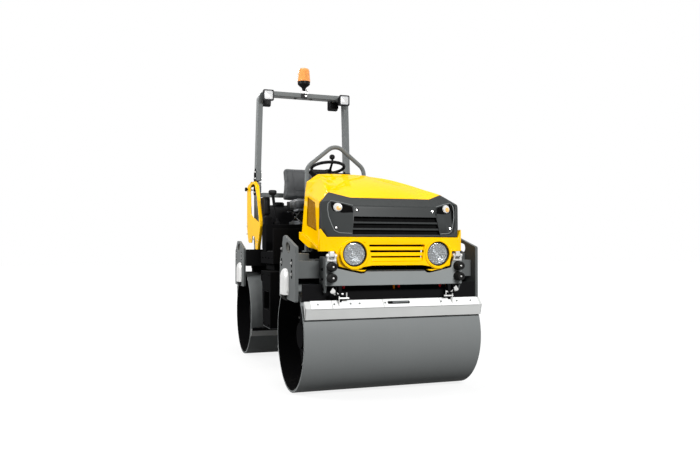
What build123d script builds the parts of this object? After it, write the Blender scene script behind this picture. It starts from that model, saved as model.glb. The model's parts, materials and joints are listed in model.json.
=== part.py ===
"""Tandem road roller, ride-on and articulated. Millimetres.

+Z up, the front of the machine faces -Y, the operator's right is -X. The
origin is on the ground, midway between the two drum axles, on the steering
axis of the articulation.
"""
import os
from math import cos, radians, sin, sqrt, tan

from build123d import *

os.makedirs("parts", exist_ok=True)

# ---- driving dimensions ----------------------------------------------------
drum_diameter = 720
drum_width = 1200
drum_shell = 18
drum_disc_recess = 150
drum_disc = 16
drum_hub_radius = 95
drum_shaft_radius = 40
wheelbase = 1700
buffer_length = 60

end_gap = 12
side_plate = 20
side_plate_bottom = 596
hanger_plate = 25
hanger_shelf = 22
running_gap = 5
pin_clearance = 0.05

bed_bottom = 741
arm_top = 852
arm_cap = 46
rear_arm_top = 915
neck_half_width = 250
neck_near = 335
neck_far = 470

joint_height = 430
clevis_thickness = 30
clevis_low = 245
clevis_high = 585
clevis_nose = 90
king_pin_radius = 30
joint_block_radius = 60
spindle_radius = 50
steer_limit = 30

plate_overhang = 352
front_plate = 12
plate_half_width = 462
buffer_inset = 31
headlight_inset = 178
plate_bottom = 700
tie_inset = 59
tie_z = 678
tie_hole_radius = 13

hood_hinge_z = 885
hood_wall = 14
hood_rear = -130
bumper_top = 1000

floor_top = 900
floor_front = 150
podium_top = 1130

post_width = 45
post_depth = 100
post_x_low = 436
post_x_high = 415
post_y = 1067
fold_height = 1540
rops_rise = 848

seat_width = 500
cushion_bottom = 1262
cushion_thickness = 88

wheel_radius = 136
wheel_rim = 13
wheel_dish = 40
wheel_tilt = 14
wheel_y = 268
wheel_z = 1600

handrail_radius = 17
handrail_y = 52

# ---- worked out from them --------------------------------------------------
drum_radius = drum_diameter / 2
axle_y = wheelbase / 2
axle_z = drum_radius
half_drum = drum_width / 2
plate_front = axle_y + plate_overhang
plate_back = plate_front - front_plate
tie_y = plate_front - tie_inset
hood_hinge_y = -plate_front - 3
nose_rear = 94 - plate_front
rops_top_z = fold_height + rops_rise
cushion_top = cushion_bottom + cushion_thickness
side_in = half_drum + end_gap
side_out = side_in + side_plate
shell_inner = drum_radius - drum_shell
disc_out = half_drum - drum_disc_recess
hub_out = disc_out + 20
hanger_in = hub_out + running_gap
hanger_out = hanger_in + hanger_plate
buffer_x = plate_half_width - buffer_inset
headlight_x = plate_half_width - headlight_inset
half_length = plate_front + buffer_length
sides = (-1, 1)
ends = (("front", -1), ("rear", 1))


# ---- drums -----------------------------------------------------------------
for end_name, end in ends:
    with BuildPart() as drum:
        with BuildSketch(Plane((0, end * axle_y, axle_z), x_dir=(1, 0, 0), z_dir=(0, -1, 0))):
            with Locations((0, (drum_radius + shell_inner) / 2)):
                shell = Rectangle(drum_width, drum_shell)
            for side in sides:
                with Locations((side * (disc_out - drum_disc / 2), shell_inner / 2)):
                    Rectangle(drum_disc, shell_inner)
                with Locations((side * (disc_out + hub_out) / 2, drum_hub_radius / 2)):
                    Rectangle(hub_out - disc_out, drum_hub_radius)
                with Locations((side * (disc_out + hanger_out) / 2, drum_shaft_radius / 2)):
                    Rectangle(hanger_out - disc_out, drum_shaft_radius)
        revolve(axis=Axis((0, end * axle_y, axle_z), (1, 0, 0)))
    drum.part.label = f"{end_name}_drum"
    export_step(drum.part, f"parts/{end_name}_drum.step")


# ---- side plates, hangers and hose covers, one pair on each frame ----------
# (distance outwards from the axle, height)
plate_outline = {
    "front": ((-170, side_plate_bottom + 14), (-150, 850), (-64, 1008), (-26, 1016), (265, 940), (265, side_plate_bottom)),
    "rear": ((-170, side_plate_bottom), (-170, 925), (50, 990), (150, 992), (255, 900), (255, side_plate_bottom)),
}
lift_hole_y = 70
lift_hole_z = 936
hanger_half = 130
hanger_top = axle_z + 288
for end_name, end in ends:
    with BuildPart() as side_plates:
        for side in sides:
            with BuildSketch(Plane.YZ.offset(side * (side_in + side_plate / 2))):
                with BuildLine():
                    outline = [(end * (axle_y + y), z) for y, z in plate_outline[end_name]]
                    FilletPolyline(*outline, radius=14, close=True)
                make_face()
                with Locations(Location((end * (axle_y + lift_hole_y), lift_hole_z), -end * 12)):
                    SlotOverall(104, 58, mode=Mode.SUBTRACT)
            extrude(amount=side_plate / 2, both=True)
        for side in sides:
            with BuildSketch(Plane.YZ.offset(side * (hanger_in + hanger_plate / 2))):
                with BuildLine():
                    hub = ThreePointArc(
                        (end * axle_y - 120, axle_z), (end * axle_y, axle_z - 120), (end * axle_y + 120, axle_z)
                    )
                    Polyline(
                        hub @ 1,
                        (end * axle_y + hanger_half, hanger_top),
                        (end * axle_y - hanger_half, hanger_top),
                        hub @ 0,
                    )
                make_face()
                with Locations((end * axle_y, axle_z)):
                    Circle(drum_shaft_radius + pin_clearance, mode=Mode.SUBTRACT)
            extrude(amount=hanger_plate / 2, both=True)
            with Locations((side * (hanger_out + side_in) / 2, end * axle_y, hanger_top - hanger_shelf / 2)):
                Box(side_in - hanger_out, 2 * hanger_half, hanger_shelf)
            with BuildSketch(Plane.YZ.offset(side * (hanger_out + 35))):
                with Locations((end * axle_y, axle_z)):
                    Circle(85)
            extrude(amount=-side * 35)
    side_plates.part.label = f"{end_name}_side_plates"
    export_step(side_plates.part, f"parts/{end_name}_side_plates.step")

    with BuildPart() as hose_covers:
        for side in sides:
            with BuildSketch(Plane.XY.offset(side_plate_bottom + 14)):
                with Locations((side * (side_out - 12), end * (axle_y + 5))):
                    Circle(38)
                with Locations((side * side_out, end * (axle_y + 5))):
                    Rectangle(20, 180)
                with Locations((side * (side_out - 100), end * (axle_y + 5))):
                    Rectangle(200, 400, mode=Mode.SUBTRACT)
            extrude(amount=190)
    hose_covers.part.label = f"{end_name}_hose_covers"
    export_step(hose_covers.part, f"parts/{end_name}_hose_covers.step")


# ---- front frame -----------------------------------------------------------
arm_front = axle_y + 205
arm_back = axle_y - 150
bed_half = 440
with BuildPart() as front_chassis:
    with BuildSketch(Plane.XY.offset(bed_bottom)):
        with BuildLine():
            Polyline(
                (-side_in, -arm_front), (side_in, -arm_front), (side_in, -arm_back), (bed_half, -arm_back),
                (bed_half, -520), (neck_half_width, -neck_near), (-neck_half_width, -neck_near),
                (-bed_half, -520), (-bed_half, -arm_back), (-side_in, -arm_back), close=True,
            )
        make_face()
    extrude(amount=arm_top - bed_bottom)
    with Locations((0, -(neck_near + neck_far) / 2, (300 + arm_top) / 2)):
        Box(2 * neck_half_width, neck_far - neck_near, arm_top - 300)
    for side in sides:
        with Locations((side * (505 + side_in) / 2, -axle_y, arm_top + arm_cap / 2)):
            Box(side_in - 505, 250, arm_cap)
        with Locations((side * (plate_half_width - 6), -(arm_front + plate_front - front_plate) / 2, 790)):
            Box(12, plate_front - front_plate - arm_front, 180)
        with BuildSketch(Plane.YZ.offset(side * (plate_half_width - 6))):
            with BuildLine():
                Polyline(
                    (-tie_y - 45, plate_bottom), (-tie_y + 73, plate_bottom), (-tie_y + 23, tie_z - 23),
                    (-tie_y - 23, tie_z - 23), close=True,
                )
            make_face()
            with Locations((-tie_y, tie_z)):
                Circle(tie_hole_radius, mode=Mode.SUBTRACT)
        extrude(amount=6, both=True)
    with BuildSketch(Plane.XZ.offset(115)):
        with Locations((0, joint_height)):
            Circle(spindle_radius + 42)
    extrude(amount=neck_near - 115)
    with BuildSketch(Plane.XZ.offset(115)):
        with Locations((0, joint_height)):
            Circle(spindle_radius + pin_clearance)
    extrude(amount=neck_far - 25 - 115, mode=Mode.SUBTRACT)
front_chassis.part.label = "front_chassis"
export_step(front_chassis.part, "parts/front_chassis.step")

# half contour of the plate's top edge, from the middle outwards
plate_top_edge = (
    (0, 812), (headlight_x - 108, 812), (headlight_x - 72, 776), (headlight_x - 48, 774), (headlight_x + 102, 806),
    (headlight_x + 116, 870), (plate_half_width, 870),
)
with BuildPart() as front_plate_piece:
    with BuildSketch(Plane.XZ.offset(plate_front - front_plate)):
        with BuildLine():
            Polyline(
                *[(-x, z) for x, z in reversed(plate_top_edge)],
                *plate_top_edge[1:],
                (plate_half_width, plate_bottom),
                (-plate_half_width, plate_bottom),
                close=True,
            )
        make_face()
    extrude(amount=front_plate)
front_plate_piece.part.label = "front_plate"
export_step(front_plate_piece.part, "parts/front_plate.step")

with BuildPart() as front_buffers:
    with BuildSketch(Plane.XZ.offset(plate_front)):
        with Locations(*[(side * buffer_x, z) for side in sides for z in (750, 818)]):
            Circle(30)
    extrude(amount=half_length - plate_front, taper=6)
front_buffers.part.label = "front_buffers"
export_step(front_buffers.part, "parts/front_buffers.step")

with BuildPart() as engine_block:
    with Locations((0, -640, arm_top + 170)):
        Box(440, 560, 340)
engine_block.part.label = "engine_block"
export_step(engine_block.part, "parts/engine_block.step")

# hood hinges: a fixed leaf with its pin, and the leaf on the hood
hinge_x = plate_half_width - 34
hinge_width = 60
pin_r = 8
with BuildPart() as hood_hinges:
    for side in sides:
        with Locations((side * hinge_x, -(plate_front + 4), 860)):
            Box(hinge_width, 8, 20)
        for x in (-22, 22):
            with BuildSketch(Plane.YZ.offset(side * hinge_x + x)):
                with BuildLine():
                    Polyline(
                        (hood_hinge_y - 5, 862), (hood_hinge_y + 3, 862), (hood_hinge_y + 3, 871), (hood_hinge_y + 13, hood_hinge_z),
                        (hood_hinge_y, hood_hinge_z + 13), (hood_hinge_y - 13, hood_hinge_z), close=True,
                    )
                make_face()
            extrude(amount=6, both=True)
        with BuildSketch(Plane.YZ.offset(side * hinge_x)):
            with Locations((hood_hinge_y, hood_hinge_z)):
                Circle(pin_r)
        extrude(amount=28, both=True)
hood_hinges.part.label = "hood_hinges"
export_step(hood_hinges.part, "parts/hood_hinges.step")


# ---- articulation ----------------------------------------------------------
steer_arm = 110
steer_arm_z = 545
with BuildPart() as joint_block:
    with BuildSketch(Plane.XY.offset(clevis_low + clevis_thickness + running_gap)):
        Circle(joint_block_radius)
    extrude(amount=clevis_high - clevis_low - clevis_thickness - 2 * running_gap)
    with BuildSketch(Plane.XZ):
        with Locations((0, joint_height)):
            Circle(spindle_radius)
    extrude(amount=neck_far - 35)
    with BuildSketch(Plane.XY.offset(steer_arm_z - 12)):
        with BuildLine():
            eye = ThreePointArc((steer_arm, -42), (steer_arm + 42, 0), (steer_arm, 42))
            Polyline(eye @ 1, (0, 55), (0, -55), eye @ 0)
        make_face()
        with Locations((steer_arm, 0)):
            Circle(29, mode=Mode.SUBTRACT)
    extrude(amount=24)
    with BuildSketch(Plane.XY.offset(clevis_low)):
        Circle(king_pin_radius + pin_clearance)
    extrude(amount=clevis_high + clevis_thickness - clevis_low, mode=Mode.SUBTRACT)
joint_block.part.label = "joint_block"
export_step(joint_block.part, "parts/joint_block.step")

with BuildPart() as king_pin:
    with BuildSketch(Plane.XY.offset(clevis_low - 12)):
        Circle(king_pin_radius)
    extrude(amount=clevis_high + clevis_thickness - clevis_low + 12)
    with BuildSketch(Plane.XY.offset(clevis_high + clevis_thickness)):
        Circle(king_pin_radius + 16)
    extrude(amount=12)
king_pin.part.label = "king_pin"
export_step(king_pin.part, "parts/king_pin.step")

cylinder_anchor = (165, 300)
cylinder_vector = (steer_arm - cylinder_anchor[0], -cylinder_anchor[1])
cylinder_length = sqrt(cylinder_vector[0] ** 2 + cylinder_vector[1] ** 2)
cylinder_way = (cylinder_vector[0] / cylinder_length, cylinder_vector[1] / cylinder_length, 0)
cylinder_plane = Plane((*cylinder_anchor, steer_arm_z), x_dir=(0, 0, 1), z_dir=cylinder_way)
with BuildPart() as steering_barrel:
    with BuildSketch(cylinder_plane.offset(30)):
        Circle(28)
    extrude(amount=150)
    with BuildSketch(Plane.XY.offset(steer_arm_z - 14)):
        with Locations(cylinder_anchor):
            Circle(24)
    extrude(amount=28)
    with BuildSketch(cylinder_plane):
        Rectangle(28, 36)
    extrude(amount=40)
    with BuildSketch(Plane.XY.offset(steer_arm_z - 14)):
        with Locations(cylinder_anchor):
            Circle(10 + pin_clearance)
    extrude(amount=28, mode=Mode.SUBTRACT)
    with BuildSketch(cylinder_plane.offset(60)):
        Circle(14 + pin_clearance)
    extrude(amount=130, mode=Mode.SUBTRACT)
steering_barrel.part.label = "steering_barrel"
export_step(steering_barrel.part, "parts/steering_barrel.step")

with BuildPart() as steering_rod:
    with BuildSketch(cylinder_plane.offset(150)):
        Circle(14)
    extrude(amount=cylinder_length - 150 - 55)
    with BuildSketch(cylinder_plane.offset(cylinder_length - 60)):
        Rectangle(70, 30)
    extrude(amount=12)
    for z in (steer_arm_z - 35, steer_arm_z + 20):
        with BuildSketch(Plane.XY.offset(z)):
            with BuildLine():
                fork = [cylinder_plane.from_local_coords((0, y, cylinder_length + d)) for y, d in ((-13, -49), (13, -49), (13, 11), (-13, 11))]
                Polyline(*[(p.X, p.Y) for p in fork], close=True)
            make_face()
        extrude(amount=15)
    with BuildSketch(Plane.XY.offset(steer_arm_z - 35)):
        with Locations((steer_arm, 0)):
            Circle(9)
    extrude(amount=70)
steering_rod.part.label = "steering_rod"
export_step(steering_rod.part, "parts/steering_rod.step")


# ---- rear frame ------------------------------------------------------------
rear_arm_front = 640
rear_arm_back = axle_y + 275
with BuildPart() as rear_chassis:
    with Locations((0, (neck_near + plate_back) / 2, (745 + 800) / 2)):
        Box(2 * bed_half, plate_back - neck_near, 55)
    with Locations((0, (rear_arm_front + rear_arm_back) / 2, (774 + rear_arm_top) / 2)):
        Box(2 * side_in, rear_arm_back - rear_arm_front, rear_arm_top - 774)
    with Locations((0, (neck_near + neck_far) / 2, (clevis_low + 780) / 2)):
        Box(2 * neck_half_width, neck_far - neck_near, 780 - clevis_low)
    with Locations((0, (120 + neck_near) / 2, 750)):
        Box(400, neck_near - 120, 100)
    for z in (clevis_low, clevis_high):
        with BuildSketch(Plane.XY.offset(z)):
            with BuildLine():
                nose = ThreePointArc((clevis_nose, 0), (0, -clevis_nose), (-clevis_nose, 0))
                Polyline(nose @ 1, (-neck_half_width + 20, neck_near + 10), (neck_half_width - 20, neck_near + 10), nose @ 0)
            make_face()
            Circle(king_pin_radius, mode=Mode.SUBTRACT)
        extrude(amount=clevis_thickness)
    for z in (steer_arm_z - 34, steer_arm_z + 19):
        with BuildSketch(Plane.XY.offset(z)):
            with BuildLine():
                Polyline(
                    (cylinder_anchor[0] - 26, neck_near + 5), (cylinder_anchor[0] + 26, neck_near + 5),
                    (cylinder_anchor[0] + 22, cylinder_anchor[1] - 18), (cylinder_anchor[0] - 22, cylinder_anchor[1] - 18),
                    close=True,
                )
            make_face()
        extrude(amount=15)
    with BuildSketch(Plane.XY.offset(steer_arm_z - 34)):
        with Locations(cylinder_anchor):
            Circle(10)
    extrude(amount=68)
    with Locations((0, plate_front - front_plate / 2, (plate_bottom + rear_arm_top) / 2)):
        Box(2 * plate_half_width, front_plate, rear_arm_top - plate_bottom)
    for side in sides:
        with Locations((side * (plate_half_width - 6), (rear_arm_back + plate_back) / 2, (plate_bottom + rear_arm_top) / 2)):
            Box(12, plate_back - rear_arm_back, rear_arm_top - plate_bottom)
        with BuildSketch(Plane.YZ.offset(side * (plate_half_width - 6))):
            with BuildLine():
                Polyline(
                    (tie_y - 73, bed_bottom + 24), (tie_y + 45, bed_bottom + 24), (tie_y + 23, tie_z - 23),
                    (tie_y - 23, tie_z - 23), close=True,
                )
            make_face()
            with Locations((tie_y, tie_z)):
                Circle(tie_hole_radius, mode=Mode.SUBTRACT)
        extrude(amount=6, both=True)
rear_chassis.part.label = "rear_chassis"
export_step(rear_chassis.part, "parts/rear_chassis.step")

with BuildPart() as rear_buffers:
    with BuildSketch(Plane.XZ.offset(-plate_front)):
        with Locations(*[(side * buffer_x, z) for side in sides for z in (750, 818)]):
            Circle(30)
    extrude(amount=-(half_length - plate_front), taper=6)
rear_buffers.part.label = "rear_buffers"
export_step(rear_buffers.part, "parts/rear_buffers.step")

step_x = (405, 540)
step_y = (30, 300)
with BuildPart() as boarding_steps:
    for side in sides:
        centre_x = side * (step_x[0] + step_x[1]) / 2
        width = step_x[1] - step_x[0]
        with BuildSketch(Plane.YZ.offset(centre_x)):
            with BuildLine():
                Polyline((step_y[0], 300), (step_y[0], 745), (340, 745), (340, 640), (step_y[1], 300), close=True)
            make_face()
            with Locations(((step_y[0] + step_y[1]) / 2 + 2, 515)):
                RectangleRounded(200, 150, 14, mode=Mode.SUBTRACT)
        extrude(amount=width / 2, both=True)
        with Locations((side * 400, 385, 700)):
            Box(260, 90, 90)
boarding_steps.part.label = "boarding_steps"
export_step(boarding_steps.part, "parts/boarding_steps.step")

with BuildPart() as platform:
    with Locations((0, (floor_front + rear_arm_front) / 2, (800 + floor_top) / 2)):
        Box(980, rear_arm_front - floor_front, floor_top - 800)
    with Locations((0, 90, (800 + floor_top) / 2)):
        Box(540, 120, floor_top - 800)
    for side in sides:
        with Locations((side * 375, floor_front + 10, 992)):
            Box(230, 20, 185)
platform.part.label = "platform"
export_step(platform.part, "parts/platform.step")

with BuildPart() as podium:
    with BuildSketch(Plane.XY.offset(floor_top)):
        with Locations((0, 510)):
            Rectangle(980, 140)
        with Locations((0, 610)):
            Rectangle(900, 60)
    extrude(amount=podium_top - floor_top)
    with Locations((0, 800, (rear_arm_top + podium_top) / 2)):
        Box(780, 400, podium_top - rear_arm_top)
    for side in sides:
        with Locations((side * 456, 500, podium_top + 30)):
            Box(44, 120, 60)
podium.part.label = "podium"
export_step(podium.part, "parts/podium.step")

with BuildPart() as water_tank:
    with BuildSketch(Plane.YZ):
        with BuildLine():
            FilletPolyline((1002, rear_arm_top), (1002, 1300), (1080, 1330), (1180, 1280), (1180, rear_arm_top), radius=18, close=True)
        make_face()
    extrude(amount=370, both=True)
water_tank.part.label = "water_tank"
export_step(water_tank.part, "parts/water_tank.step")

dash_bottom = 1480
dash_front = 80
dash_crest = 1539
wheel_plane = Plane((0, wheel_y, wheel_z), x_dir=(1, 0, 0), z_dir=(0, sin(radians(wheel_tilt)), cos(radians(wheel_tilt))))
with BuildPart() as cowl:
    with BuildSketch(Plane.XY.offset(floor_top)):
        with Locations((0, 170)):
            RectangleRounded(400, 190, 30)
    with BuildSketch(Plane.XY.offset(dash_bottom)):
        with Locations((0, 165)):
            RectangleRounded(260, 180, 30)
    loft()
cowl.part.label = "cowl"
export_step(cowl.part, "parts/cowl.step")

# the dashboard slopes with the steering wheel, and carries a display box at the operator's right
with BuildPart() as dashboard:
    dash_rear = wheel_y + 8
    dash_fall = (dash_rear - dash_front) * tan(radians(wheel_tilt))
    with BuildSketch(Plane.YZ.offset(-160)):
        with BuildLine():
            FilletPolyline(
                (dash_front - 5, dash_bottom), (dash_rear, dash_bottom), (dash_rear, dash_crest - dash_fall),
                (dash_front, dash_crest), (dash_front - 5, dash_crest - 7), radius=3, close=True,
            )
        make_face()
    extrude(amount=290)
    with BuildPart():
        with BuildSketch(Plane.XZ.offset(-dash_front)):
            with BuildLine():
                Polyline((-208, 1564), (-57, 1564), (-57, 1500), (-146, 1500), (-160, 1516), close=True)
            make_face()
        extrude(amount=-115)
        split(bisect_by=Plane(origin=(0, dash_front, dash_crest + 23), z_dir=wheel_plane.z_dir), keep=Keep.BOTTOM)
dashboard.part.label = "dashboard"
export_step(dashboard.part, "parts/dashboard.step")

handrail_apex = (0, 1769)
handrail_foot = 241
handrail_slope = 0.8125
with BuildPart() as handrail:
    with BuildLine(Plane.XZ.offset(-handrail_y)) as rail_path:
        FilletPolyline(
            (-handrail_foot, floor_top),
            (-handrail_foot, handrail_apex[1] - handrail_foot * handrail_slope),
            handrail_apex,
            (handrail_foot, handrail_apex[1] - handrail_foot * handrail_slope),
            (handrail_foot, floor_top),
            radius=(80, 105, 80),
        )
    with BuildSketch(Plane((-handrail_foot, handrail_y, floor_top))):
        Circle(handrail_radius)
    sweep()
handrail.part.label = "handrail"
export_step(handrail.part, "parts/handrail.step")

# the steering column leaves the dashboard square to the wheel, and the wheel is dished
column_foot = (dash_crest - wheel_z) * cos(radians(wheel_tilt)) - (wheel_y - dash_front) * sin(radians(wheel_tilt))
hub_bottom = -wheel_dish - 18
with BuildPart() as steering_column:
    with BuildSketch(wheel_plane.offset(column_foot)):
        Circle(26)
    extrude(amount=hub_bottom - 7 - column_foot)
    with BuildSketch(wheel_plane.offset(hub_bottom - 7)):
        Circle(10)
    extrude(amount=40)
steering_column.part.label = "steering_column"
export_step(steering_column.part, "parts/steering_column.step")

with BuildPart() as steering_wheel:
    with BuildSketch(Plane(wheel_plane.origin, x_dir=(1, 0, 0), z_dir=wheel_plane.y_dir)):
        with Locations((wheel_radius, 0)):
            Circle(wheel_rim)
    revolve(axis=Axis(wheel_plane.origin, wheel_plane.z_dir))
    for turn in (-90, 30, 150):
        spoke_way = wheel_plane.x_dir * cos(radians(turn)) + wheel_plane.y_dir * sin(radians(turn))
        with BuildSketch(Plane(wheel_plane.origin, x_dir=spoke_way, z_dir=spoke_way.cross(wheel_plane.z_dir))):
            with BuildLine():
                Polyline(
                    (20, hub_bottom + 4), (48, hub_bottom + 6), (wheel_radius - 8, -7), (wheel_radius - 2, 7),
                    (wheel_radius - 16, 5), (44, hub_bottom + 22), (20, hub_bottom + 20), close=True,
                )
            make_face()
        extrude(amount=13, both=True)
    with BuildSketch(wheel_plane.offset(hub_bottom)):
        Circle(34)
    extrude(amount=40)
    with BuildSketch(wheel_plane.offset(hub_bottom - 1)):
        Circle(10 + pin_clearance)
    extrude(amount=36, mode=Mode.SUBTRACT)
    with BuildSketch(wheel_plane):
        with Locations((0, -wheel_radius)):
            Circle(9)
    extrude(amount=36)
    with Locations(wheel_plane.from_local_coords((0, -wheel_radius, 46))):
        Sphere(22)
steering_wheel.part.label = "steering_wheel"
export_step(steering_wheel.part, "parts/steering_wheel.step")

with BuildPart() as seat_base:
    with Locations((0, 610, podium_top + 20)):
        Box(400, 360, 40)
    with BuildSketch(Plane.XY.offset(podium_top + 40)):
        with Locations((0, 610)):
            RectangleRounded(330, 300, 20)
    with BuildSketch(Plane.XY.offset(cushion_bottom - 22)):
        with Locations((0, 610)):
            RectangleRounded(400, 360, 20)
    loft()
    with Locations((0, 610, cushion_bottom - 11)):
        Box(440, 400, 21)
    with BuildSketch(Plane.YZ):
        with BuildLine():
            Polyline((780, cushion_bottom - 21), (880, cushion_bottom - 21), (905, 1560), (875.2, 1560), (852.6, 1290), (800, cushion_bottom - 1), close=True)
        make_face()
    extrude(amount=150, both=True)
seat_base.part.label = "seat_base"
export_step(seat_base.part, "parts/seat_base.step")

with BuildPart() as seat_cushion:
    with Locations((0, 595, (cushion_bottom + cushion_top) / 2)):
        Box(seat_width, 390, cushion_top - cushion_bottom - 0.6)
    fillet(seat_cushion.edges().filter_by(Axis.Z), 60)
seat_cushion.part.label = "seat_cushion"
export_step(seat_cushion.part, "parts/seat_cushion.step")

with BuildPart() as seat_back:
    with BuildSketch(Plane.YZ):
        with BuildLine():
            Polyline((793, cushion_top + 8), (858, cushion_top + 8), (882, 1645), (825, 1645), close=True)
        make_face()
    extrude(amount=seat_width / 2, both=True)
    fillet(seat_back.edges().filter_by(Axis.Y, reverse=True).filter_by(Axis.X, reverse=True).sort_by(Axis.X)[:1], 20)
seat_back.part.label = "seat_back"
export_step(seat_back.part, "parts/seat_back.step")

with BuildPart() as hip_guards:
    for side in sides:
        with BuildSketch(Plane.YZ.offset(side * 449)):
            with Locations((695, 1291)):
                RectangleRounded(260, 158, 22)
        extrude(amount=25, both=True)
        with Locations((side * 440, 610, (podium_top + 1232) / 2)):
            Box(30, 40, 1232 - podium_top)
hip_guards.part.label = "hip_guards"
export_step(hip_guards.part, "parts/hip_guards.step")

with BuildPart() as drive_lever:
    with Locations((-390, 478, podium_top + 12)):
        Cylinder(32, 24)
    with BuildSketch(Plane((-390, 478, podium_top + 2), x_dir=(1, 0, 0), z_dir=(-0.14, -0.08, 1))):
        Circle(8)
    extrude(amount=250)
    with Locations((-428, 456, 1395)):
        Box(66, 36, 44)
drive_lever.part.label = "drive_lever"
export_step(drive_lever.part, "parts/drive_lever.step")

panel_out = 506
panel_plate = 8
panel_flange = 26
# (distance from mid machine, height): front edge upwards, then over the top and down the rear
panel_front_edge = ((705, rear_arm_top), (650, 1008), (596, 1115), (612, 1173), (690, 1326), (765, 1477))
panel_rear_edge = (
    (812, 1508), (872, 1525), (1026, 1529), (1160, 1515), (1215, 1495), (1215, 1454), (1213, 1125), (1168, 1034),
    (1141, 988), (1110, 975), (981, 975), (956, 1031), (905, 1040), (829, 1019), (804, 957), (804, rear_arm_top),
)
panel_window = ((1052, 1447), (1039, 1485), (987, 1503), (880, 1502), (789, 1466), (714, 1322), (642, 1150), (919, 1204), (1010, 1237))
with BuildPart() as rops_panels:
    for side in sides:
        with BuildSketch(Plane.YZ.offset(side * panel_out)):
            with BuildLine():
                FilletPolyline(*panel_front_edge, *panel_rear_edge, radius=9, close=True)
            make_face()
            with BuildLine():
                FilletPolyline(*panel_window, radius=9, close=True)
            make_face(mode=Mode.SUBTRACT)
        extrude(amount=-side * panel_plate)
        with BuildSketch(Plane.YZ.offset(side * panel_out)):
            with BuildLine():
                flange_back = [(y + 13, max(z - 2, rear_arm_top)) for y, z in reversed(panel_front_edge[:-1])]
                Polyline(*panel_front_edge, (872, 1524), *flange_back, close=True)
            make_face()
        extrude(amount=-side * panel_flange)
rops_panels.part.label = "rops_panels"
export_step(rops_panels.part, "parts/rops_panels.step")

hinge_pin_y = post_y + post_depth / 2 + 19
ear_radius = 14
with BuildPart() as rops_posts:
    for side in sides:
        with Locations((side * post_x_low, post_y, (rear_arm_top + fold_height - running_gap) / 2)):
            Box(post_width, post_depth, fold_height - running_gap - rear_arm_top)
        for x in (-1, 1):
            with BuildSketch(Plane.YZ.offset(side * post_x_low + x * (post_width / 2 - 5))):
                with BuildLine():
                    arc = ThreePointArc(
                        (hinge_pin_y + ear_radius, fold_height),
                        (hinge_pin_y, fold_height + ear_radius),
                        (hinge_pin_y - ear_radius, fold_height),
                    )
                    Polyline(arc @ 1, (post_y + post_depth / 2, fold_height - 20), (post_y + post_depth / 2, fold_height - 70), arc @ 0)
                make_face()
            extrude(amount=5, both=True)
        with BuildSketch(Plane.YZ.offset(side * post_x_low)):
            with Locations((hinge_pin_y, fold_height)):
                Circle(8)
        extrude(amount=post_width / 2 + 2, both=True)
    with Locations((0, post_y, fold_height - 120)):
        Box(2 * post_x_low - post_width, 60, 40)
rops_posts.part.label = "rops_posts"
export_step(rops_posts.part, "parts/rops_posts.step")

with BuildPart() as rops_frame:
    with BuildLine(Plane.XZ.offset(-post_y)):
        FilletPolyline(
            (-post_x_low, fold_height + running_gap), (-post_x_high, rops_top_z - post_width / 2),
            (post_x_high, rops_top_z - post_width / 2), (post_x_low, fold_height + running_gap), radius=60,
        )
    with BuildSketch(Plane((-post_x_low, post_y, fold_height + running_gap), x_dir=(1, 0, 0), z_dir=(post_x_low - post_x_high, 0, rops_top_z - fold_height))):
        Rectangle(post_width, post_depth)
    sweep()
    for side in sides:
        with BuildSketch(Plane.YZ.offset(side * post_x_low)):
            with BuildLine():
                arc = ThreePointArc(
                    (hinge_pin_y - ear_radius + 1, fold_height),
                    (hinge_pin_y, fold_height - ear_radius),
                    (hinge_pin_y + ear_radius, fold_height),
                )
                Polyline(arc @ 1, (post_y + post_depth / 2, fold_height + 80), (post_y + post_depth / 2 - 4, fold_height + 80), (post_y + post_depth / 2 - 4, fold_height + 8), (hinge_pin_y - ear_radius + 1, fold_height + 8), arc @ 0)
            make_face()
            with Locations((hinge_pin_y, fold_height)):
                Circle(8 + pin_clearance, mode=Mode.SUBTRACT)
        extrude(amount=post_width / 2 - 11, both=True)
rops_frame.part.label = "rops_frame"
export_step(rops_frame.part, "parts/rops_frame.step")

lamp_x = 365
lamp_z = rops_top_z - 63
bar_front = post_y - post_depth / 2
bar_back = post_y + post_depth / 2
with BuildPart() as work_lamps:
    for side in sides:
        with BuildSketch(Plane.XZ.offset(-(bar_front - 102))):
            with Locations((side * lamp_x, lamp_z)):
                RectangleRounded(100, 100, 14)
        extrude(amount=-80, taper=6)
        with Locations((side * lamp_x, bar_front - 12, lamp_z + 30)):
            Box(30, 24, 30)
        with BuildSketch(Plane.XZ.offset(-(bar_back + 94))):
            with Locations((side * (lamp_x - 30), lamp_z)):
                RectangleRounded(100, 100, 14)
        extrude(amount=72, taper=6)
        with Locations((side * (lamp_x - 30), bar_back + 12, lamp_z + 30)):
            Box(30, 24, 30)
work_lamps.part.label = "work_lamps"
export_step(work_lamps.part, "parts/work_lamps.step")

beacon_y = 1040
beacon_stem = 64
beacon_foot = rops_top_z + 76
beacon_seat = rops_top_z + 112
with BuildPart() as beacon_base:
    with Locations((0, beacon_y, rops_top_z + 6)):
        Box(70, 60, 12)
    with BuildSketch(Plane.XY.offset(rops_top_z + 12)):
        with Locations((0, beacon_y)):
            Circle(13)
    extrude(amount=beacon_stem)
    with BuildSketch(Plane.XY.offset(beacon_foot)):
        with Locations((0, beacon_y)):
            Circle(56)
    extrude(amount=beacon_seat - beacon_foot)
beacon_base.part.label = "beacon_base"
export_step(beacon_base.part, "parts/beacon_base.step")

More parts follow.
